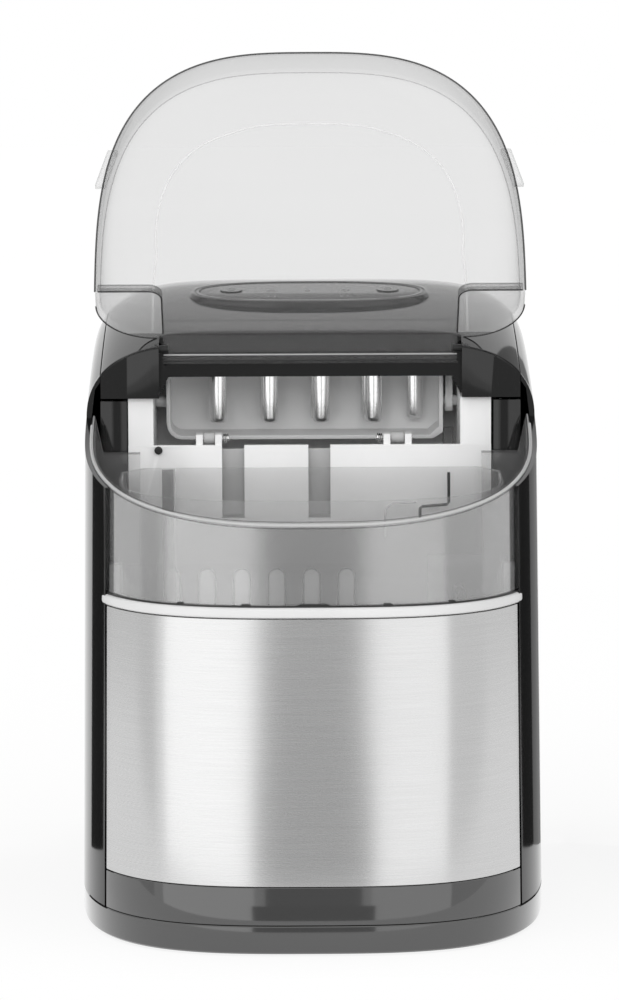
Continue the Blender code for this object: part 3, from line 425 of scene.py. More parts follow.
def noise(tree, scale, stretch=(1.0, 1.0, 1.0), detail=3.0):
    coords = tree.nodes.new("ShaderNodeTexCoord")
    mapping = tree.nodes.new("ShaderNodeMapping")
    dial(mapping, Scale=stretch)
    tree.links.new(coords.outputs["Object"], mapping.inputs["Vector"])
    texture = tree.nodes.new("ShaderNodeTexNoise")
    dial(texture, Scale=scale, Detail=detail)
    tree.links.new(mapping.outputs["Vector"], texture.inputs["Vector"])
    return texture.outputs["Fac"]


def remap(tree, value, low, high):
    node = tree.nodes.new("ShaderNodeMapRange")
    dial(node, To_Min=low, To_Max=high)
    tree.links.new(value, node.inputs["Value"])
    return node.outputs["Result"]


def tint(tree, value, low, high):
    """Colour that drifts between two colours or two greys."""
    ramp = tree.nodes.new("ShaderNodeValToRGB")
    for stop, position, shade in zip(ramp.color_ramp.elements, (0.3, 0.7), (low, high)):
        stop.position = position
        stop.color = (*shade, 1.0) if isinstance(shade, tuple) else (shade, shade, shade, 1.0)
    tree.links.new(value, ramp.inputs["Fac"])
    return ramp.outputs["Color"]


def bump(tree, value, distance, shader, strength):
    node = tree.nodes.new("ShaderNodeBump")
    dial(node, Strength=strength, Distance=distance)
    tree.links.new(value, node.inputs["Height"])
    tree.links.new(node.outputs["Normal"], shader.inputs["Normal"])


def surface(name, low, high, rough, metallic=0.0, scale=60.0, grain=900.0, depth=0.00001,
            coat=0.0, specular=0.5):
    """Opaque surface: soft colour drift, roughness drift and a fine grain."""
    mat, tree, shader = new_material(name)
    tree.links.new(tint(tree, noise(tree, scale), low, high), shader.inputs["Base Color"])
    tree.links.new(remap(tree, noise(tree, scale * 2.3, detail=4.0), *rough),
                   shader.inputs["Roughness"])
    dial(shader, Metallic=metallic, Specular_IOR_Level=specular, Coat_Weight=coat,
         Coat_Roughness=0.06)
    bump(tree, noise(tree, grain, detail=2.0), depth, shader, 0.6)
    return mat


def clear_plastic(name, density, tone, rim=0.75, rough=0.04):
    """Thin tinted plastic: light passes straight through, darker where it is seen edge-on."""
    mat, tree, shader = new_material(name)
    tree.links.new(tint(tree, noise(tree, 30.0), tone * 0.94, tone),
                   shader.inputs["Base Color"])
    tree.links.new(remap(tree, noise(tree, 90.0, detail=4.0), rough * 0.7, rough * 1.4),
                   shader.inputs["Roughness"])
    dial(shader, IOR=1.46)
    bump(tree, noise(tree, 260.0, detail=2.0), 0.000004, shader, 0.4)
    weight = tree.nodes.new("ShaderNodeLayerWeight")
    dial(weight, Blend=0.5)
    power = tree.nodes.new("ShaderNodeMath")
    power.operation = "POWER"
    power.inputs[1].default_value = 3.0
    tree.links.new(weight.outputs["Facing"], power.inputs[0])
    alpha = remap(tree, power.outputs["Value"], density, max(rim, density))
    tree.links.new(alpha, shader.inputs["Alpha"])
    return mat


def brushed(name, low, high, rough):
    """Steel brushed round the body: fine level lines, and highlights drawn out upwards."""
    mat, tree, shader = new_material(name)
    lines = noise(tree, 2600.0, (0.012, 0.012, 1.0), 2.0)
    tree.links.new(tint(tree, lines, low, high), shader.inputs["Base Color"])
    tree.links.new(remap(tree, noise(tree, 1700.0, (0.02, 0.02, 1.0)), *rough),
                   shader.inputs["Roughness"])
    dial(shader, Metallic=1.0, Anisotropic=0.8, Anisotropic_Rotation=0.25)
    tangent = tree.nodes.new("ShaderNodeTangent")
    tangent.direction_type = "RADIAL"
    tangent.axis = "Z"
    tree.links.new(tangent.outputs["Tangent"], shader.inputs["Tangent"])
    bump(tree, noise(tree, 2200.0, (0.012, 0.012, 1.0), 1.0), 0.0000012, shader, 0.5)
    return mat


def sheen(name, share, rough):
    """Thin clear layer that mirrors a share of the room."""
    mat, tree, shader = new_material(name)
    tree.links.new(tint(tree, noise(tree, 30.0), 0.93, 0.96),
                   shader.inputs["Base Color"])
    tree.links.new(remap(tree, noise(tree, 70.0), rough * 0.8, rough * 1.2),
                   shader.inputs["Roughness"])
    dial(shader, Metallic=1.0, Alpha=share)
    return mat


GLOSS = surface("gloss_black", 0.004, 0.006, (0.05, 0.09), scale=9.0, grain=400.0,
                depth=0.000003)
TRIM_GLOSS = surface("trim_black", 0.010, 0.014, (0.06, 0.10), scale=9.0,
                     grain=400.0, depth=0.000003, coat=1.0, specular=1.0)
SATIN_BLACK = surface("satin_black", 0.009, 0.014, (0.28, 0.38), scale=40.0, grain=1600.0)
PRINT = surface("panel_print", 0.16, 0.22, (0.4, 0.5), scale=300.0, depth=0.000002)
STEEL = brushed("brushed_front", 0.60, 0.64, (0.24, 0.30))
CHROME = surface("plated_chrome", 0.84, 0.90, (0.05, 0.10), 1.0, scale=120.0,
                 grain=700.0, depth=0.000003)
PLATING = surface("finger_plating", 0.86, 0.92, (0.17, 0.25), 1.0, scale=120.0,
                  grain=700.0, depth=0.00002)
WHITE = surface("white_moulding", 0.84, 0.89, (0.30, 0.42), scale=25.0, grain=1800.0)
GREY = surface("grey_moulding", 0.76, 0.80, (0.35, 0.48), scale=30.0, grain=1500.0)
# Darker copy of the grey moulding: painted shade on the flap, which is seen through the basket's
# slots.
FLAP_SHADED_GREY = surface("grey_flap_painted_shade", 0.50, 0.55, (0.35, 0.48), scale=30.0, grain=1500.0)
BAND_WHITE = surface("white_band", 0.62, 0.66, (0.30, 0.42), scale=25.0, grain=1800.0)
RUBBER = surface("rubber_black", 0.018, 0.03, (0.65, 0.8), scale=80.0, depth=0.00004)
ENAMEL = surface("enamel_black", 0.015, 0.03, (0.3, 0.5), scale=70.0, grain=500.0,
                 depth=0.00003)
COPPER = surface("bare_copper", (0.62, 0.29, 0.16), (0.78, 0.40, 0.24), (0.25, 0.4), 1.0,
                 scale=50.0, grain=600.0)
FINS = surface("condenser_fins", 0.55, 0.7, (0.3, 0.45), 1.0, scale=200.0)
FOAM = surface("expanded_foam", (0.72, 0.70, 0.62), (0.85, 0.83, 0.76), (0.85, 0.95), scale=300.0,
               grain=420.0, depth=0.0003)
BOARD = surface("circuit_board", (0.01, 0.12, 0.05), (0.02, 0.18, 0.08), (0.4, 0.5),
                scale=200.0, depth=0.00002)
FROST = clear_plastic("frosted_tab", 0.30, 0.70, 0.8, 0.35)
SMOKE_LID = clear_plastic("smoke_hood", 0.15, 0.22)
SMOKE_LIP = clear_plastic("smoke_hood_lip", 0.17, 0.20)
SMOKE_WINDOW = clear_plastic("smoke_window", 0.10, 0.62)
SMOKE_BASKET = clear_plastic("smoke_basket", 0.12, 0.40)
SMOKE_COVER = clear_plastic("smoke_cover", 0.14, 0.30)
SMOKE_EDGE = clear_plastic("smoke_edge", 0.30, 0.14, 0.95)
FAINT_EDGE = clear_plastic("faint_edge", 0.20, 0.22, 0.6)
DARK_LINE = clear_plastic("dark_line", 0.80, 0.05, 0.97)
# Pale smoke used as painted highlights and painted reflections on rims, beads and the hood's rear
# wings.
PAINTED_HIGHLIGHT = clear_plastic("painted_highlight", 0.45, 0.75, 0.6)
# Pale rod colour that paints the highlight along the window's rim.
RIM_HIGHLIGHT = clear_plastic("rim_painted_highlight", 0.72, 0.62, 0.85)
# Pale line colour that paints the highlight along the hood's crease.
CREASE_HIGHLIGHT = clear_plastic("crease_painted_highlight", 0.35, 0.95, 0.5)
WINDOW_SHEEN = sheen("window_sheen", 0.16, 0.16)


# ---------------------------------------------------------------- outer shells

def build_base():
    section = [(2.6, SKIRT_BOTTOM), (1.2, SKIRT_BOTTOM + 0.3), (0.35, 2.2), (0.0, 4.2),
               (0.0, PAN_TOP - 0.5), (0.4, PAN_TOP), (SKIN, PAN_TOP), (SKIN, 4.5)]
    rings = [[(x, d, z) for x, d in outline(inset, z)] for inset, z in section]
    loft("base_skirt", rings, TRIM_GLOSS, stands_for=("base_pan",))


def build_bands():
    """Trim band, steel front and white band, which all follow the front curve."""
    low, high = PAN_TOP + GAP, STEEL_BOTTOM - GAP
    section = fillet([(0.0, low), (0.0, high), (SKIN, high), (SKIN, low)], 0.8, 3)
    band("trim_band", section, FRONT_END, TRIM_GLOSS, stands_for=("front_trim_band",))
    section = fillet([(0.3, STEEL_BOTTOM), (0.3, STEEL_TOP), (1.7, STEEL_TOP),
                      (1.7, STEEL_BOTTOM)], 0.4, 2)
    band("steel_front", section, FRONT_END, STEEL, steps=160, stands_for=("front_panel",))
    low, high = STEEL_TOP + GAP, BAND_TOP
    section = fillet([(-0.3, low), (-0.3, high), (4.6, high), (4.6, low)], 2.2, 6)
    band("window_band", section, FRONT_END + 6.5, BAND_WHITE, steps=160, taper=3.0,
         stands_for=("window_trim",))


def build_gasket():
    """Dark seal between the white band and the window, with five small clips."""
    low = BAND_TOP + 0.02
    section = [(1.0, low), (1.0, low + 0.75), (2.6, low + 0.75), (2.6, low)]
    band("window_seal", section, FRONT_END + 2.0, SATIN_BLACK, steps=120)
    for number, x in enumerate(CLIP_X, 1):
        angle = acos((abs(x) / HALF_WIDTH) ** (NOSE_POWER / 2))
        angle = pi - angle if x < 0 else angle
        rings = []
        for step in range(-3, 4):
            near, far = (nose_point(angle + step * 0.006, inset) for inset in (1.2, 2.75))
            lift = 1.5 if abs(step) < 3 else 0.8
            rings.append([(*near, low + 0.4), (*near, low + lift),
                          (*far, low + lift), (*far, low + 0.4)])
        loft("window_clip_%d" % number, rings, SATIN_BLACK)


def build_window():
    """Clear wrap-around window with a rolled rim and two rear flanges."""
    steps = 120
    outer_angles = front_angles(NOSE_DEPTH, steps)[1:-1]
    side = HALF_WIDTH - WINDOW_INSET
    face = WINDOW_REAR - WINDOW_SKIN
    flange_top = BAR_TOP - 3.0
    low = BAND_TOP + GAP
    rings = []

    def half_section(x, d, mx, md, top):
        """One face of the wall, from its foot to just short of the crest."""
        face = [(x * flare(z), d, z) for z in (low, low + 18.0, low + 34.0, top - 1.2)]
        return face + [((mx + (x - mx) * part) * flare(top), md + (d - md) * part, top - fall)
                       for part, fall in ((0.75, 0.35), (0.35, 0.05))]

    def section(ox, od, ix, inner_depth, top):
        middle = (ox + ix) / 2, (od + inner_depth) / 2
        rings.append(half_section(ox, od, *middle, top)
                     + half_section(ix, inner_depth, *middle, top)[::-1])

    for x in (FLANGE_INNER, side - 6.0):
        section(x, WINDOW_REAR, x, face, flange_top)
    section(side, WINDOW_REAR, side - WINDOW_SKIN, face, window_height(face))
    for angle in outer_angles:
        ox, od = nose_point(angle, WINDOW_INSET)
        ix, inner_depth = nose_point(angle, WINDOW_INSET + WINDOW_SKIN)
        section(ox, od, ix, inner_depth, window_height(od))
    section(-side, WINDOW_REAR, WINDOW_SKIN - side, face, window_height(face))
    for x in (side - 6.0, FLANGE_INNER):
        section(-x, WINDOW_REAR, -x, face, flange_top)
    window = loft("window", rings, SMOKE_WINDOW, stands_for=("front_window",))

    rings = []
    for angle in outer_angles:
        near = nose_point(angle, WINDOW_INSET - 0.15)
        far = nose_point(angle, WINDOW_INSET - 0.1)
        top = window_height(near[1]) - 1.4
        rings.append([(x * flare(z), d, z) for (x, d), z in
                      ((near, low + 0.6), (near, top), (far, top), (far, low + 0.6))])
    loft("window_sheen", rings, WINDOW_SHEEN)
    mark(window, 1, SMOKE_EDGE, lambda c, n: c.z > BAND_TOP + 20.0 and n.z > 0.25)
    # The flattest faces of the crest are painted pale, as the rim's highlight.
    mark(window, 2, PAINTED_HIGHLIGHT, lambda c, n: c.z > BAND_TOP + 20.0 and n.z > 0.93)
    # The first bead paints the rim's highlight; the two smoke lines draw its dark edges.
    beads = (("window_highlight_bead", WINDOW_INSET + 0.3, 0.6, 0.8, RIM_HIGHLIGHT),
             ("window_line_front", WINDOW_INSET - 0.3, 1.8, 0.3, SMOKE_EDGE),
             ("window_line_back", WINDOW_INSET + WINDOW_SKIN + 0.1, 0.2, 0.25, SMOKE_EDGE))
    for name, inset, drop, radius, mat in beads:
        path = []
        for angle in outer_angles:
            x, d = nose_point(angle, inset)
            z = window_height(d) - drop
            path.append((x * flare(z), d, z))
        loft(name, rod_along(path, radius, 8), mat)


def side_stations():
    """Points round one side, each with the direction into the wall."""
    start = nose_angle(FRONT_END + 0.4)
    path = []
    for i in range(41):
        angle = start * (1 - i / 40) ** 1.4
        x, d = nose_point(angle, 0.0)
        nx, nd = nose_point(angle, 1.0)
        path.append((x, d, nx - x, nd - d))
    for i in range(1, 25):
        path.append((HALF_WIDTH, NOSE_DEPTH + (DEPTH - REAR_RADIUS - NOSE_DEPTH) * i / 24 - 0.01,
                     -1.0, 0.0))
    for (x, d), (ix, inner_depth) in zip(rear_corner(0.0, 1), rear_corner(1.0, 1)):
        path.append((x, d, ix - x, inner_depth - d))
    path.append((REAR_FLANGE_X - 6.0, DEPTH, 0.0, -1.0))
    return path


def build_side(name, node, side):
    """Side panel from the front bands to the rear panel; the left one has vents."""
    offsets = (0.0, 0.15, 0.4, 0.8, 1.4, 2.2, 3.4, 5.0, SEAM_INSET - 0.3, SEAM_INSET)
    heights = [PAN_TOP + GAP + 0.4, 60.0, 120.0, 180.0, 240.0]
    rings = []
    for x, d, nx, nd in side_stations():
        ring = []
        profile = [(0.35, PAN_TOP + GAP)] + [(0.0, z) for z in heights]
        profile += [(o, roof(HALF_WIDTH - o, d)) for o in offsets[:-1]]
        edge = roof(HALF_WIDTH - SEAM_INSET, d)
        profile += [(SEAM_INSET, edge - 0.3), (SEAM_INSET, edge - SKIN - 1.0)]
        profile += [(4.6, roof(HALF_WIDTH - 4.6, d) - SKIN - 1.0),
                    (SKIN, ridge(d) - ROOF_DROP - 1.0), (SKIN, PAN_TOP + GAP)]
        for offset, z in profile:
            px = (x + nx * offset) * flare(min(z, FLARE_HEIGHT))
            ring.append((side * px, d + nd * offset, z))
        rings.append(ring)
    panel = loft(name, rings, GLOSS, stands_for=(node,))
    depths = [FRONT_END - 12.0 + (SHOULDER_FRONT - FRONT_END + 12.0) * i / 60 for i in range(61)]
    profile = [(d, window_height(d) - 1.0) for d in depths]
    profile += [(SHOULDER_FRONT, CROWN + 20.0), (depths[0], CROWN + 20.0)]
    cut(panel, extrude(profile, 0, (side * 60.0, side * 160.0)))
    if side < 0:
        for i in range(9):
            vent = [(-130.0, 228.0), (-110.0, 228.0), (-110.0, 300.0), (-130.0, 300.0)]
            low = VENT_BOTTOM + i * VENT_PITCH
            cut(panel, extrude(vent, 2, (low, low + VENT_GAP)))


def build_top_cover():
    """Roof with two shoulders in front, drawn as one closed skin."""
    inner = SHOULDER_INNER
    edge_x = HALF_WIDTH - SEAM_INSET - GAP
    xs_half = [2.0 * i for i in range(1, 39)]
    xs_half = [x for x in xs_half if x < inner - 1.0] + [inner, inner + SKIN]
    x = inner + SKIN + 2.0
    while x < edge_x - 1.0:
        xs_half.append(x)
        x += 1.6
    xs_half += [edge_x - 0.4, edge_x]
    xs = [-x for x in reversed(xs_half)] + [0.0] + xs_half
    rear = DEPTH - SEAM_INSET - GAP
    ds = [SHOULDER_FRONT, SHOULDER_FRONT + 0.5, SHOULDER_FRONT + SKIN, 148.0, 153.0,
          COVER_FRONT, COVER_FRONT + 0.5, COVER_FRONT + SKIN]
    d = COVER_FRONT + SKIN + 3.0
    while d < rear - 1.0:
        ds.append(d)
        d += 3.0 if d < 318.0 else 1.2
    ds = [d for d in ds if d < rear - SKIN - 1.0]
    ds += [rear - SKIN - 0.1, rear - SKIN, rear - 0.4, rear]
    corner = REAR_RADIUS - SEAM_INSET - GAP

    def clamp(px, pd):
        """Keep a grid point inside the round rear corner."""
        ox, od = abs(px) - REAR_FLANGE_X, pd - (DEPTH - REAR_RADIUS)
        if ox > 0 and od > 0:
            reach = hypot(ox, od)
            if reach > corner:
                ox, od = ox * corner / reach, od * corner / reach
            return copysign(REAR_FLANGE_X + ox, px), DEPTH - REAR_RADIUS + od
        return px, pd

    def drop(px, pd):
        """Small rounding along the outer edge and the front edges."""
        gap = min(edge_x - abs(px), rear - pd)
        front = pd - (SHOULDER_FRONT if abs(px) >= inner else COVER_FRONT)
        gap = min(gap, front)
        return 0.5 * max(0.0, 1 - gap / 0.5) ** 2

    def under(px, pd):
        """Lower skin, which comes down to form the front faces and the rear lip."""
        if abs(px) >= inner and pd <= SHOULDER_FRONT + SKIN:
            return SHOULDER_BOTTOM
        if inner <= abs(px) <= inner + SKIN and pd <= COVER_FRONT + SKIN:
            return SHOULDER_BOTTOM
        if abs(px) <= inner + SKIN and COVER_FRONT <= pd <= COVER_FRONT + SKIN:
            return FASCIA_BOTTOM
        if pd >= rear - SKIN and abs(px) < REAR_FLANGE_X + 9.0:
            return REAR_PANEL_TOP - REAR_LIP_DROP[abs(px) >= REAR_FLANGE_X - 6.5]
        return roof(px, pd) - SKIN

    columns = len(xs)
    layer = columns * len(ds)
    top, bottom = [], []
    for pd in ds:
        for px in xs:
            cx, cd = clamp(px, pd)
            top.append((cx, cd, roof(cx, cd) - drop(px, pd)))
            bottom.append((cx, cd, under(px, pd)))
    cells = {(i, j) for i in range(columns - 1) for j in range(len(ds) - 1)
             if (ds[j] + ds[j + 1]) / 2 > COVER_FRONT or abs(xs[i] + xs[i + 1]) / 2 > inner}
    faces = []
    for i, j in cells:
        a, b = j * columns + i, j * columns + i + 1
        c, e = (j + 1) * columns + i + 1, (j + 1) * columns + i
        faces.append((a, b, c, e))
        faces.append((layer + e, layer + c, layer + b, layer + a))
        for (p, q), neighbour in (((a, b), (i, j - 1)), ((b, c), (i + 1, j)),
                                  ((c, e), (i, j + 1)), ((e, a), (i - 1, j))):
            if neighbour not in cells:
                faces.append((q, p, layer + p, layer + q))
    verts = top + bottom
    used = sorted({index for face in faces for index in face})
    renumber = {old: new for new, old in enumerate(used)}
    faces = [tuple(renumber[index] for index in face) for face in faces]
    cover = make("roof_cover", [verts[i] for i in used], faces, GLOSS,
                 stands_for=("top_cover",), angle=40.0)
    rework(cover.data, lambda work: bmesh.ops.remove_doubles(work, verts=work.verts[:],
                                                             dist=1e-5))


# ---------------------------------------------------------------- control panel

def oval(half_width, half_depth, sides=120):
    return [(half_width * copysign(abs(cos(t)) ** 0.72, cos(t)),
             PANEL_CENTRE + half_depth * copysign(abs(sin(t)) ** 0.9, sin(t)))
            for t in (2 * pi * i / sides for i in range(sides))]


def panel_level(d, height):
    """Height above the tilted plane that passes through the roof at the panel's centre."""
    return ridge(PANEL_CENTRE) + (d - PANEL_CENTRE) * PANEL_TILT + height


def on_panel(points, height):
    return [(x, d, panel_level(d, height)) for x, d in points]


def build_control_panel():
    """Oval bezel with a groove, and its face plate with a hole for each key."""
    lift = PANEL_LIFT
    outer = oval(66.0, 29.0)
    inner = oval(60.5, 24.0)

    def between(t, height):
        points = [((1 - t) * x + t * ix, (1 - t) * d + t * near)
                  for (x, d), (ix, near) in zip(outer, inner)]
        return [(x, d, max(panel_level(d, height), roof(x, d) + GAP)) for x, d in points]

    def seat(x, d):
        return max(roof(x, d) + GAP, panel_level(d, 0.3))

    rings = [[(x, d, roof(x, d) + GAP) for x, d in outer]]
    rings += [between(t, lift - dip) for t, dip in
              ((0.08, 0.9), (0.2, 0.2), (0.36, 0.0), (0.46, 0.0), (0.54, 0.6), (0.62, 0.6),
               (0.7, 0.0), (0.9, 0.0), (0.98, 0.2))]
    rings += [on_panel(inner, lift - 0.6), [(x, d, seat(x, d)) for x, d in inner]]
    loft("panel_bezel", rings, GLOSS, closed=True, stands_for=("control_bezel",))
    plate = oval(60.1, 23.6)
    rings = [[(x, d, seat(x, d)) for x, d in plate], on_panel(plate, lift - 0.6),
             [(x * 0.995, PANEL_CENTRE + (d - PANEL_CENTRE) * 0.985, panel_level(d, lift - 0.4))
              for x, d in plate]]
    overlay = loft("panel_face", rings, GLOSS, stands_for=("control_overlay",))
    for x in (-KEY_X, KEY_X):
        hole = ellipse(x, KEY_DEPTH, KEY_HOLE, KEY_HOLE, 48)
        cut(overlay, extrude(hole, 2, (300.0, 340.0)))
    build_symbols(lift - 0.4)


def flat_shape(points, level, holes=None):
    """Thin printed shape on the panel face, from (x, depth) points; holes make it a ring."""
    low, high = level - 0.05, level + 0.06
    rings = [on_panel(points, low), on_panel(points, high)]
    if holes:
        rings += [on_panel(holes, high), on_panel(holes, low)]
    return loft_data(rings, closed=bool(holes))


def ellipse(cx, cd, rx, rd, steps=24):
    turns = [2 * pi * i / steps for i in range(steps)]
    return [(cx + rx * cos(t), cd + rd * sin(t)) for t in turns]


def square(cx, cd, half):
    return [(cx - half, cd - half), (cx + half, cd - half), (cx + half, cd + half),
            (cx - half, cd + half)]


def build_symbols(level):
    """Printed marks without letters: ring, cubes, drop and fan, with small lamps below."""
    d = KEY_DEPTH
    shapes = []
    for x in (-KEY_X, KEY_X):
        shapes.append(flat_shape(ellipse(x, d, 2.3, 3.2), level + 0.75,
                                 ellipse(x, d, 1.7, 2.4)))
    for x, near in ((-22.6, -2.6), (-19.4, -2.6), (-21.0, 1.4)):
        shapes.append(flat_shape(square(x, d + near, 1.5), level, square(x, d + near, 0.9)))
    drop = [(-1.0 + 2.0 * sin(t) * sin(t / 2), d + 3.6 * cos(t) - 0.4)
            for t in (2 * pi * i / 28 for i in range(28))]
    shapes.append(flat_shape(drop, level))
    for k in range(4):
        turn = pi / 2 * k + 0.4
        shapes.append(flat_shape(ellipse(19.5 + 1.9 * cos(turn), d + 2.6 * sin(turn),
                                         1.1, 1.5, 14), level))
    for x in (-22.5, -19.0, 17.5, 21.0):
        shapes.append(flat_shape(ellipse(x, PANEL_CENTRE - 13.0, 0.7, 1.3, 12), level))
    make("panel_symbols", *join(shapes), PRINT)


# ---------------------------------------------------------------- hood

def roof_line(depth):
    """Straight top of the shut hood."""
    return ROOF_LINE_START[1] + (depth - ROOF_LINE_START[0]) * ROOF_LINE_SLOPE


def lid_crease(x, depth):
    """Where the hood's rolled edge meets its flat top, for a point on the rim."""
    frontness = 1.0 - min(depth / 90.0, 1.0)
    roll = 31.5 - 11.5 * max(frontness, 0.0) ** 0.8
    inner_x = max(abs(x) - roll * min(abs(x) / 60.0, 1.0), 0.0)
    inner_d = depth + 20.0 * max(1.0 - (max(depth, 0.0) / LID_REAR) ** 0.5, 0.0)
    return copysign(inner_x, x), min(inner_d, LID_REAR)


def lid_rings(shrink, rear, steps=20, arc_steps=120):
    """Rings of one skin of the hood, from the rim over the lip and the roll to the crease."""
    arc = [nose_point(a, LID_INSET + shrink) for a in front_angles(NOSE_DEPTH, arc_steps)]
    arc = [(x, LID_REAR - (LID_REAR - d) * LID_REACH) for x, d in arc if d < LID_REAR - 1.0]
    side = HALF_WIDTH - LID_INSET - shrink
    rim = [(side, LID_REAR)] + arc + [(-side, LID_REAR)]
    rings = [[(x, min(d, rear), rim_height(d)) for x, d in rim]]
    for s in range(steps + 1):
        phi = pi / 2 * s / steps
        across = 1 - cos(phi)
        ring = []
        for x, d in rim:
            cx, cd = lid_crease(x, d)
            start = rim_height(d) + LID_LIP
            rise = roof_line(cd) - shrink - start
            ring.append((x + (cx - x) * across, min(d + (cd - d) * across, rear),
                         start + rise * sin(phi)))
        rings.append(ring)
    return rings


def hang_open(obj):
    """Turn a piece drawn with the hood shut to where it stands open, and let it ride the hood."""
    pivot = place(0.0, *LID_PIVOT)
    turn = (Matrix.Translation(pivot) @ Matrix.Rotation(-radians(LID_OPEN), 4, "X")
            @ Matrix.Translation(-pivot))
    obj.data.transform(turn)
    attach(obj, "lid")


def build_lid():
    """Double-skinned hood with a rolled rim, cut away at the back beside its tongue."""
    outer = lid_rings(0.0, LID_REAR)
    inner = lid_rings(LID_SKIN, LID_REAR - LID_SKIN)
    bead = []
    for share in (0.12, 0.32, 0.5, 0.68, 0.88):
        dip = 0.7 * sqrt(1 - (2 * share - 1) ** 2)
        bead.append([tuple(a + (b - a) * share for a, b in zip(p[:2], q[:2])) + (p[2] - dip,)
                     for p, q in zip(outer[0], inner[0])])
    rings = outer[::-1] + bead + inner
    lid = loft("hood", rings, SMOKE_LID, body=None, angle=40.0)
    root = roof_line(LID_REAR)
    rim = rim_height(LID_REAR)
    corner = TONGUE_CORNER
    half = [(TONGUE_HALF + corner + 3.0, rim - 14.0), (TONGUE_HALF + corner, rim - 1.0)]
    half += [(TONGUE_HALF + corner - corner * sin(t), rim + corner - corner * cos(t))
             for t in (pi / 2 * k / 8 for k in range(1, 9))]
    half.append((TONGUE_HALF, root - 4.0))
    profile = half + [(-x, z) for x, z in reversed(half)]
    cut(lid, extrude(profile, 1, (LID_REAR - 8.0, LID_REAR + 4.0)))

    def on_rim(c, n):
        return n.z < -0.35 and c.z < rim_height(c.y) + 0.8 and c.z > rim_height(c.y) - 2.0

    def on_opening(c, n):
        return (LID_REAR - LID_SKIN < c.y < LID_REAR and abs(c.x) < TONGUE_HALF + corner + 1.0
                and abs(n.y) < 0.5 and c.z < root - 2.0)

    mark(lid, 1, SMOKE_EDGE, lambda c, n: on_rim(c, n) or on_opening(c, n))
    # Painted reflection: the hood's rear wall beside the tongue is made pale, where it mirrors
    # the bright room.
    mark(lid, 2, PAINTED_HIGHLIGHT, lambda c, n: c.y > LID_REAR - 0.5 and n.y > 0.9
         and c.z < root - 4.0)
    mark(lid, 3, SMOKE_LIP, lambda c, n: abs(n.z) < 0.3 and c.y < LID_REAR - 6.0
         and c.z < rim_height(c.y) + LID_LIP)
    hang_open(lid)
    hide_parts("lid")
    build_hood_lines(outer, inner, rim, half[1:])
    build_tongue(root)


def build_hood_lines(outer, inner, rim, opening):
    """Thin lines where the hood is seen edge-on, a painted highlight along its crease, and a
    flange along each rear wing.
    """
    crease = [(x * 1.055, d + (LID_REAR - d) * 0.073) for x, d, _ in inner[-1]]
    crease = [(x, d, roof_line(d) - LID_SKIN - 0.4) for x, d in crease]
    lines = [("hood_line_rim", outer[0], 0.5, DARK_LINE),
             ("hood_line_step", inner[1], 0.3, FAINT_EDGE),
             ("hood_crease_highlight", crease, 0.6, CREASE_HIGHLIGHT)]
    for end, label in ((0, "right"), (-1, "left")):
        root_edge = [ring[end] for ring in outer[1:] if abs(ring[end][0]) > TONGUE_HALF]
        lines.append(("hood_line_root_" + label, [(x, d + 0.1, z) for x, d, z in root_edge],
                      0.4, DARK_LINE))
    inside = LID_REAR - FLANGE_DEPTH
    for side, label in ((-1, "left"), (1, "right")):
        edge = [(side * 112.0, rim)] + [(side * x, max(z, rim)) for x, z in opening]
        lines += [("hood_line_wing_" + label, [(x, LID_REAR + 0.1, z) for x, z in edge], 0.4,
                   DARK_LINE),
                  ("hood_line_flange_" + label, [(x, inside, z) for x, z in edge], 0.35,
                   SMOKE_EDGE)]
        rings = [[(x, LID_REAR, z), (x, inside, z), (x + 0.3 * side, inside, z + 0.5),
                  (x + 0.3 * side, LID_REAR, z + 0.5)] for x, z in edge]
        hang_open(loft("wing_flange_" + label, rings, SMOKE_EDGE, body=None))
    for name, points, radius, mat in lines:
        hang_open(loft(name, rod_along(points, radius, 8), mat, body=None))


def build_tongue(root):
    """Rear lip of the hood that reaches over the hinge line, with a rolled end."""
    tip = root + (TONGUE_END - LID_REAR) * TONGUE_SLOPE
    section = [(LID_REAR, root), (LID_REAR + 5.0, root + 1.35), (TONGUE_END - 0.9, tip - 0.2),
               (TONGUE_END - 0.2, tip - 0.6), (TONGUE_END, tip - 1.2),
               (TONGUE_END - 0.3, tip - LID_SKIN + 0.2), (TONGUE_END - 1.0, tip - LID_SKIN),
               (LID_REAR, root - LID_SKIN)]
    rings = extrude(section, 0, (-TONGUE_HALF, TONGUE_HALF))
    tongue = loft("hood_tongue", rings, SMOKE_LID, body=None)
    mark(tongue, 1, SMOKE_EDGE, lambda c, n: abs(n.x) > 0.8 or c.y > TONGUE_END - 1.2)
    pieces = [tongue]
    for side, label in ((-1, "left"), (1, "right")):
        path = [(side * (TONGUE_HALF - 0.3), d, root + (d - LID_REAR) * TONGUE_SLOPE - 0.2)
                for d in (LID_REAR - 0.5, LID_REAR + 7.0, TONGUE_END - 0.6)]
        pieces.append(loft("tongue_line_" + label, rod_along(path, 0.4), DARK_LINE, body=None))
    # The middle lip paints the highlight on the tongue's rolled end.
    lips = ((TONGUE_END - 1.2, tip - LID_SKIN - 0.5, 0.7, DARK_LINE),
            (TONGUE_END - 4.4, tip - LID_SKIN - 0.8, 0.45, PAINTED_HIGHLIGHT),
            (TONGUE_END - 5.8, tip - LID_SKIN - 1.1, 0.5, DARK_LINE))
    for number, (d, z, radius, mat) in enumerate(lips, 1):
        path = [(x, d, z) for x in (0.4 - TONGUE_HALF, 0.0, TONGUE_HALF - 0.4)]
        pieces.append(loft("tongue_lip_%d" % number, rod_along(path, radius), mat, body=None))
    for piece in pieces:
        hang_open(piece)


# ---------------------------------------------------------------- basket and fingers

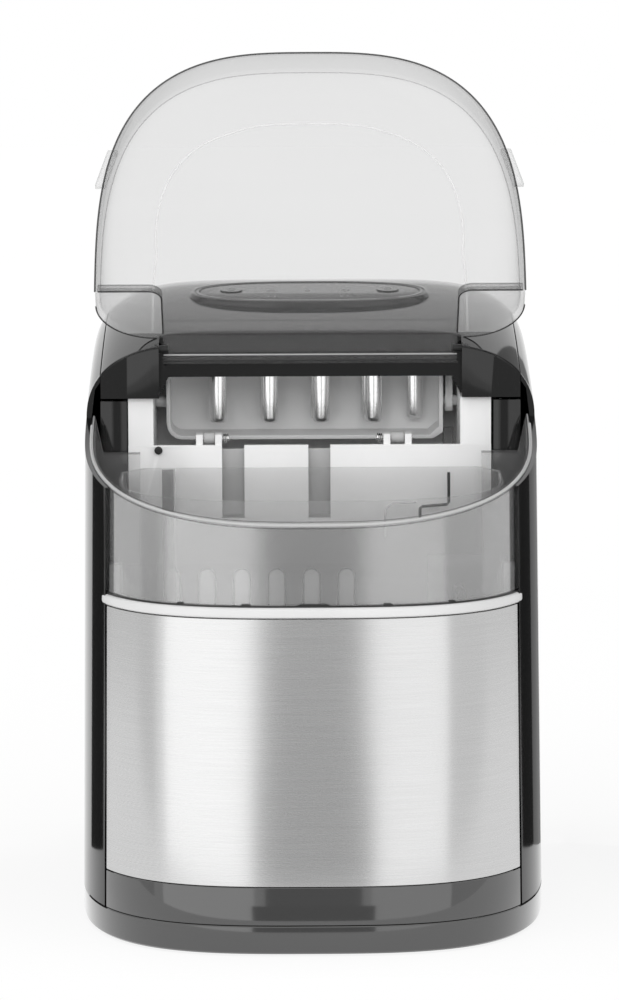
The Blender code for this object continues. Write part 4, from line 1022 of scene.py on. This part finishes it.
def basket_loop(inset, rear, z, steps=72):
    """Level outline of the basket: round in front, with cut corners at the back."""
    half = BASKET_HALF - inset
    points = [(half, rear - 16.0)]
    for i in range(steps + 1):
        angle = pi * i / steps
        c, s = cos(angle), max(sin(angle), 0.0)
        points.append((half * copysign(abs(c) ** 0.667, c),
                       110.0 - (98.0 - inset) * s ** 0.667))
    points.append((-half, rear - 16.0))
    points += [(-half + 12.0, rear), (half - 12.0, rear)]
    return [(x, d, z) for x, d in points]


def build_basket():
    """Smoky basket with a rounded rim, and a raised line round each slot."""
    skin = BASKET_SKIN
    rear = BASKET_REAR
    section = [(1.6, BASKET_BOTTOM), (0.5, BASKET_BOTTOM + 0.5), (0.0, BASKET_BOTTOM + 1.8),
               (0.0, BASKET_TOP - 0.6), (0.6, BASKET_TOP), (skin - 0.6, BASKET_TOP),
               (skin, BASKET_TOP - 0.6), (skin, BASKET_BOTTOM + skin + 2.0),
               (skin + 2.0, BASKET_BOTTOM + skin)]
    rings = [basket_loop(inset, rear - inset, z) for inset, z in section]
    basket = loft("bin", rings, SMOKE_BASKET, body="ice_basket", stands_for=("ice_basket",))
    for i in range(6):
        x = SLOT_FIRST_X + i * SLOT_PITCH
        arch = [(x - SLOT_HALF, SLOT_BOTTOM), (x + SLOT_HALF, SLOT_BOTTOM)]
        arch += [(x + SLOT_HALF * cos(t), SLOT_SPRING + SLOT_HALF * sin(t))
                 for t in (pi * k / 16 for k in range(17))]
        cut(basket, extrude(arch, 1, (rear - 8.0, rear + 4.0)))
        rib = [(x - RIB_HALF, BASKET_BOTTOM + 2.2), (x - RIB_HALF, SLOT_BOTTOM + 8.0)]
        rib += [(x - RIB_HALF * cos(t), SLOT_SPRING + RIB_HALF * sin(t))
                for t in (pi * k / 12 for k in range(13))]
        rib += [(x + RIB_HALF, SLOT_BOTTOM + 8.0), (x + RIB_HALF, BASKET_BOTTOM + 2.2)]
        path = [(px, rear - skin - 0.3, z) for px, z in rib]
        loft("slot_rib_%d" % (i + 1), rod_along(path, 0.4), FAINT_EDGE, body="ice_basket")
    build_basket_beads(rear - skin - 0.3)


def build_basket_beads(depth):
    """Stepped bead on the basket's rear wall, and upright beads in the corners; the pale beads
    are painted highlights.
    """
    dark = [(73.5, 230.6), (73.5, 214.5), (72.5, 213.2), (59.5, 212.2), (58.2, 211.2),
            (58.2, 206.0)]
    pale = [(56.0, 214.6), (43.5, 213.8), (40.5, 211.5), (39.6, 207.0), (39.6, 196.0)]
    seam = [(-72.6, BASKET_TOP - 0.6), (-72.6, 150.0)]
    beads = (("step_bead_dark", dark, 0.8, DARK_LINE), ("step_bead_highlight", pale, 0.6, PAINTED_HIGHLIGHT),
             ("wall_bead_highlight", seam, 0.4, PAINTED_HIGHLIGHT))
    for name, line, radius, mat in beads:
        path = [(x, depth, z) for x, z in line]
        loft(name, rod_along(path, radius), mat, body="ice_basket")
    strip = fillet([(-79.4, depth - 0.4), (-73.2, depth - 0.4), (-73.2, depth + 0.2),
                    (-79.4, depth + 0.2)], 0.2, 2)
    loft("wall_strip", extrude(strip, 2, (150.0, BASKET_TOP - 0.6)), SMOKE_EDGE,
         body="ice_basket")


def build_fingers():
    """Nine closed fingers with rounded tips, on one header."""
    r = FINGER_RADIUS
    profile = [(0.001, 0.0), (0.45 * r, 0.05), (0.7 * r, 0.3), (0.88 * r, 0.9), (0.97 * r, 1.8),
               (r, 3.0), (r, 12.0), (r, 33.4)]
    parts = []
    for depth, row in (FRONT_FINGERS, REAR_FINGERS):
        for x in row:
            parts.append(loft_data([[(px, d, FINGER_BOTTOM + h)
                                     for px, d in ellipse(x, depth, radius, radius, 40)]
                                    for radius, h in profile]))
    header = fillet([(-60.0, 183.0), (66.0, 183.0), (66.0, 212.0), (-60.0, 212.0)], 3.0, 6)
    parts.append(loft_data(extrude(header, 2, (284.0, 289.0))))
    make("cold_fingers", *join(parts), PLATING, stands_for=("evaporator_fingers",))


# ---------------------------------------------------------------- carried-over nodes

# CAD node: name, material, body and bevel width of its softened copy.
SOFT = {
    "inner_liner": ("tank_liner", WHITE, "cabinet", 0.5),
    "water_tray": ("tray", GREY, "water_tray", 0.6),
    "tray_lever": ("lever", WHITE, "water_tray", 0.4),
    "tray_motor": ("tray_drive", WHITE, "cabinet", 0.5),
    "ice_flap": ("flap", FLAP_SHADED_GREY, "ice_flap", 0.3),
    "lid_tab_left": ("grip_left", FROST, "lid", 0.5),
    "lid_tab_right": ("grip_right", FROST, "lid", 0.5),
    "pump_cover": ("pump_hood", SMOKE_COVER, "cabinet", 0.4),
    "water_pump": ("pump", GREY, "cabinet", 0.5),
    "inner_panel_left": ("cheek_plate_left", GLOSS, "cabinet", 0.4),
    "inner_panel_right": ("cheek_plate_right", GLOSS, "cabinet", 0.4),
    "rear_panel": ("back_panel", SATIN_BLACK, "cabinet", 0.4),
    "control_board": ("board", BOARD, "cabinet", 0.3),
    "fan_shroud": ("shroud", GREY, "cabinet", 0.3),
}

# Material: the CAD nodes that stay as they are.
KEPT = {
    GLOSS: ("power_button", "size_button"),
    SATIN_BLACK: ("lid_hinge_pin_left", "lid_hinge_pin_right"),
    CHROME: ("flap_hinge_pin_left", "flap_hinge_pin_right", "flap_spring_left",
             "flap_spring_right", *("rear_screw_%d" % i for i in range(1, 5))),
    RUBBER: ("foot_front_left", "foot_front_right", "foot_rear_left", "foot_rear_right",
             "liner_screw", "fan_blade", "power_inlet", "drain_cap",
             *("compressor_mount_%d" % i for i in range(1, 4))),
    ENAMEL: ("compressor", "fan_motor"),
    COPPER: ("filter_drier", "suction_pipe", "discharge_pipe"),
    FOAM: ("evaporator_insulation", "tank_insulation"),
    FINS: ("condenser",),
    WHITE: ("drain_hose",),
    FROST: ("water_tube",),
}


def paint_nodes():
    for node, looks in SOFT.items():
        soften(node, *looks)
    for mat, nodes in KEPT.items():
        for node in nodes:
            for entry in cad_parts[node].material_slots:
                entry.material = mat


# ---------------------------------------------------------------- studio

def plane(name, corners, mat):
    mesh = bpy.data.meshes.new(name)
    mesh.from_pydata(corners, [], [(0, 1, 2, 3)])
    mesh.materials.append(mat)
    obj = add_object(name, mesh)
    return obj


def glow(name, strength):
    """Even light of a card, without reflections of its own."""
    mat, _, shader = new_material(name)
    dial(shader, Base_Color=(0.0, 0.0, 0.0, 1.0), Roughness=1.0, Specular_IOR_Level=0.0,
         Emission_Color=(1.0, 1.0, 1.0, 1.0), Emission_Strength=strength)
    return mat


def card(name, centre, reach, azimuths, heights, strength):
    """Upright card on an arc about a point; azimuth is measured from straight in front."""
    corners = []
    for azimuth, height in ((azimuths[0], heights[0]), (azimuths[1], heights[0]),
                            (azimuths[1], heights[1]), (azimuths[0], heights[1])):
        turn = radians(azimuth)
        corners.append((centre[0] + reach * sin(turn), centre[1] - reach * cos(turn),
                        height))
    plane(name, corners, glow(name + "_glow", strength)).visible_camera = False


def build_studio():
    """White room with a bright floor, and cards that only show in reflections."""
    scene = bpy.context.scene
    scene.view_settings.view_transform = "Standard"
    world = bpy.data.worlds.new("studio")
    world.use_nodes = True
    dial(world.node_tree.nodes["Background"], Color=(1.0, 1.0, 1.0, 1.0), Strength=1.0)
    scene.world = world
    floor = surface("pale_floor", 0.14, 0.15, (0.9, 0.95), scale=2.0, grain=60.0,
                    depth=0.0, specular=0.0)
    dial(floor.node_tree.nodes["Principled BSDF"], Emission_Color=(1.0, 1.0, 1.0, 1.0),
         Emission_Strength=0.86)
    plane("floor", [(-6, FLOOR_FRONT, 0), (6, FLOOR_FRONT, 0), (6, 6, 0), (-6, 6, 0)], floor)
    for settings in CARDS:
        card(*settings)
    build_fill()


def build_fill():
    """Soft lamp in front, above the camera's line, that doesn't show in reflections."""
    light = bpy.data.lights.new("front_fill", "AREA")
    light.shape = "RECTANGLE"
    light.size, light.size_y = 0.9, 0.5
    light.energy = 5.0
    fill = add_object("front_fill", light)
    fill.location = (0.0, -1.7, 0.85)
    aim = Vector((0.0, 0.0, 0.25)) - fill.location
    fill.rotation_euler = aim.to_track_quat("-Z", "Y").to_euler()
    fill.visible_glossy = False


def build_camera():
    data = bpy.data.cameras.new("camera")
    data.lens = CAMERA_LENS
    data.sensor_width = 36.0
    camera = add_object("camera", data)
    camera.location = CAMERA_PLACE
    camera.rotation_euler = CAMERA_TURN
    bpy.context.scene.camera = camera


def main():
    build_camera()
    build_studio()
    build_base()
    build_bands()
    build_gasket()
    build_window()
    build_side("side_left", "left_side_panel", -1)
    build_side("side_right", "right_side_panel", 1)
    build_top_cover()
    build_control_panel()
    build_lid()
    build_basket()
    build_fingers()
    paint_nodes()


main()
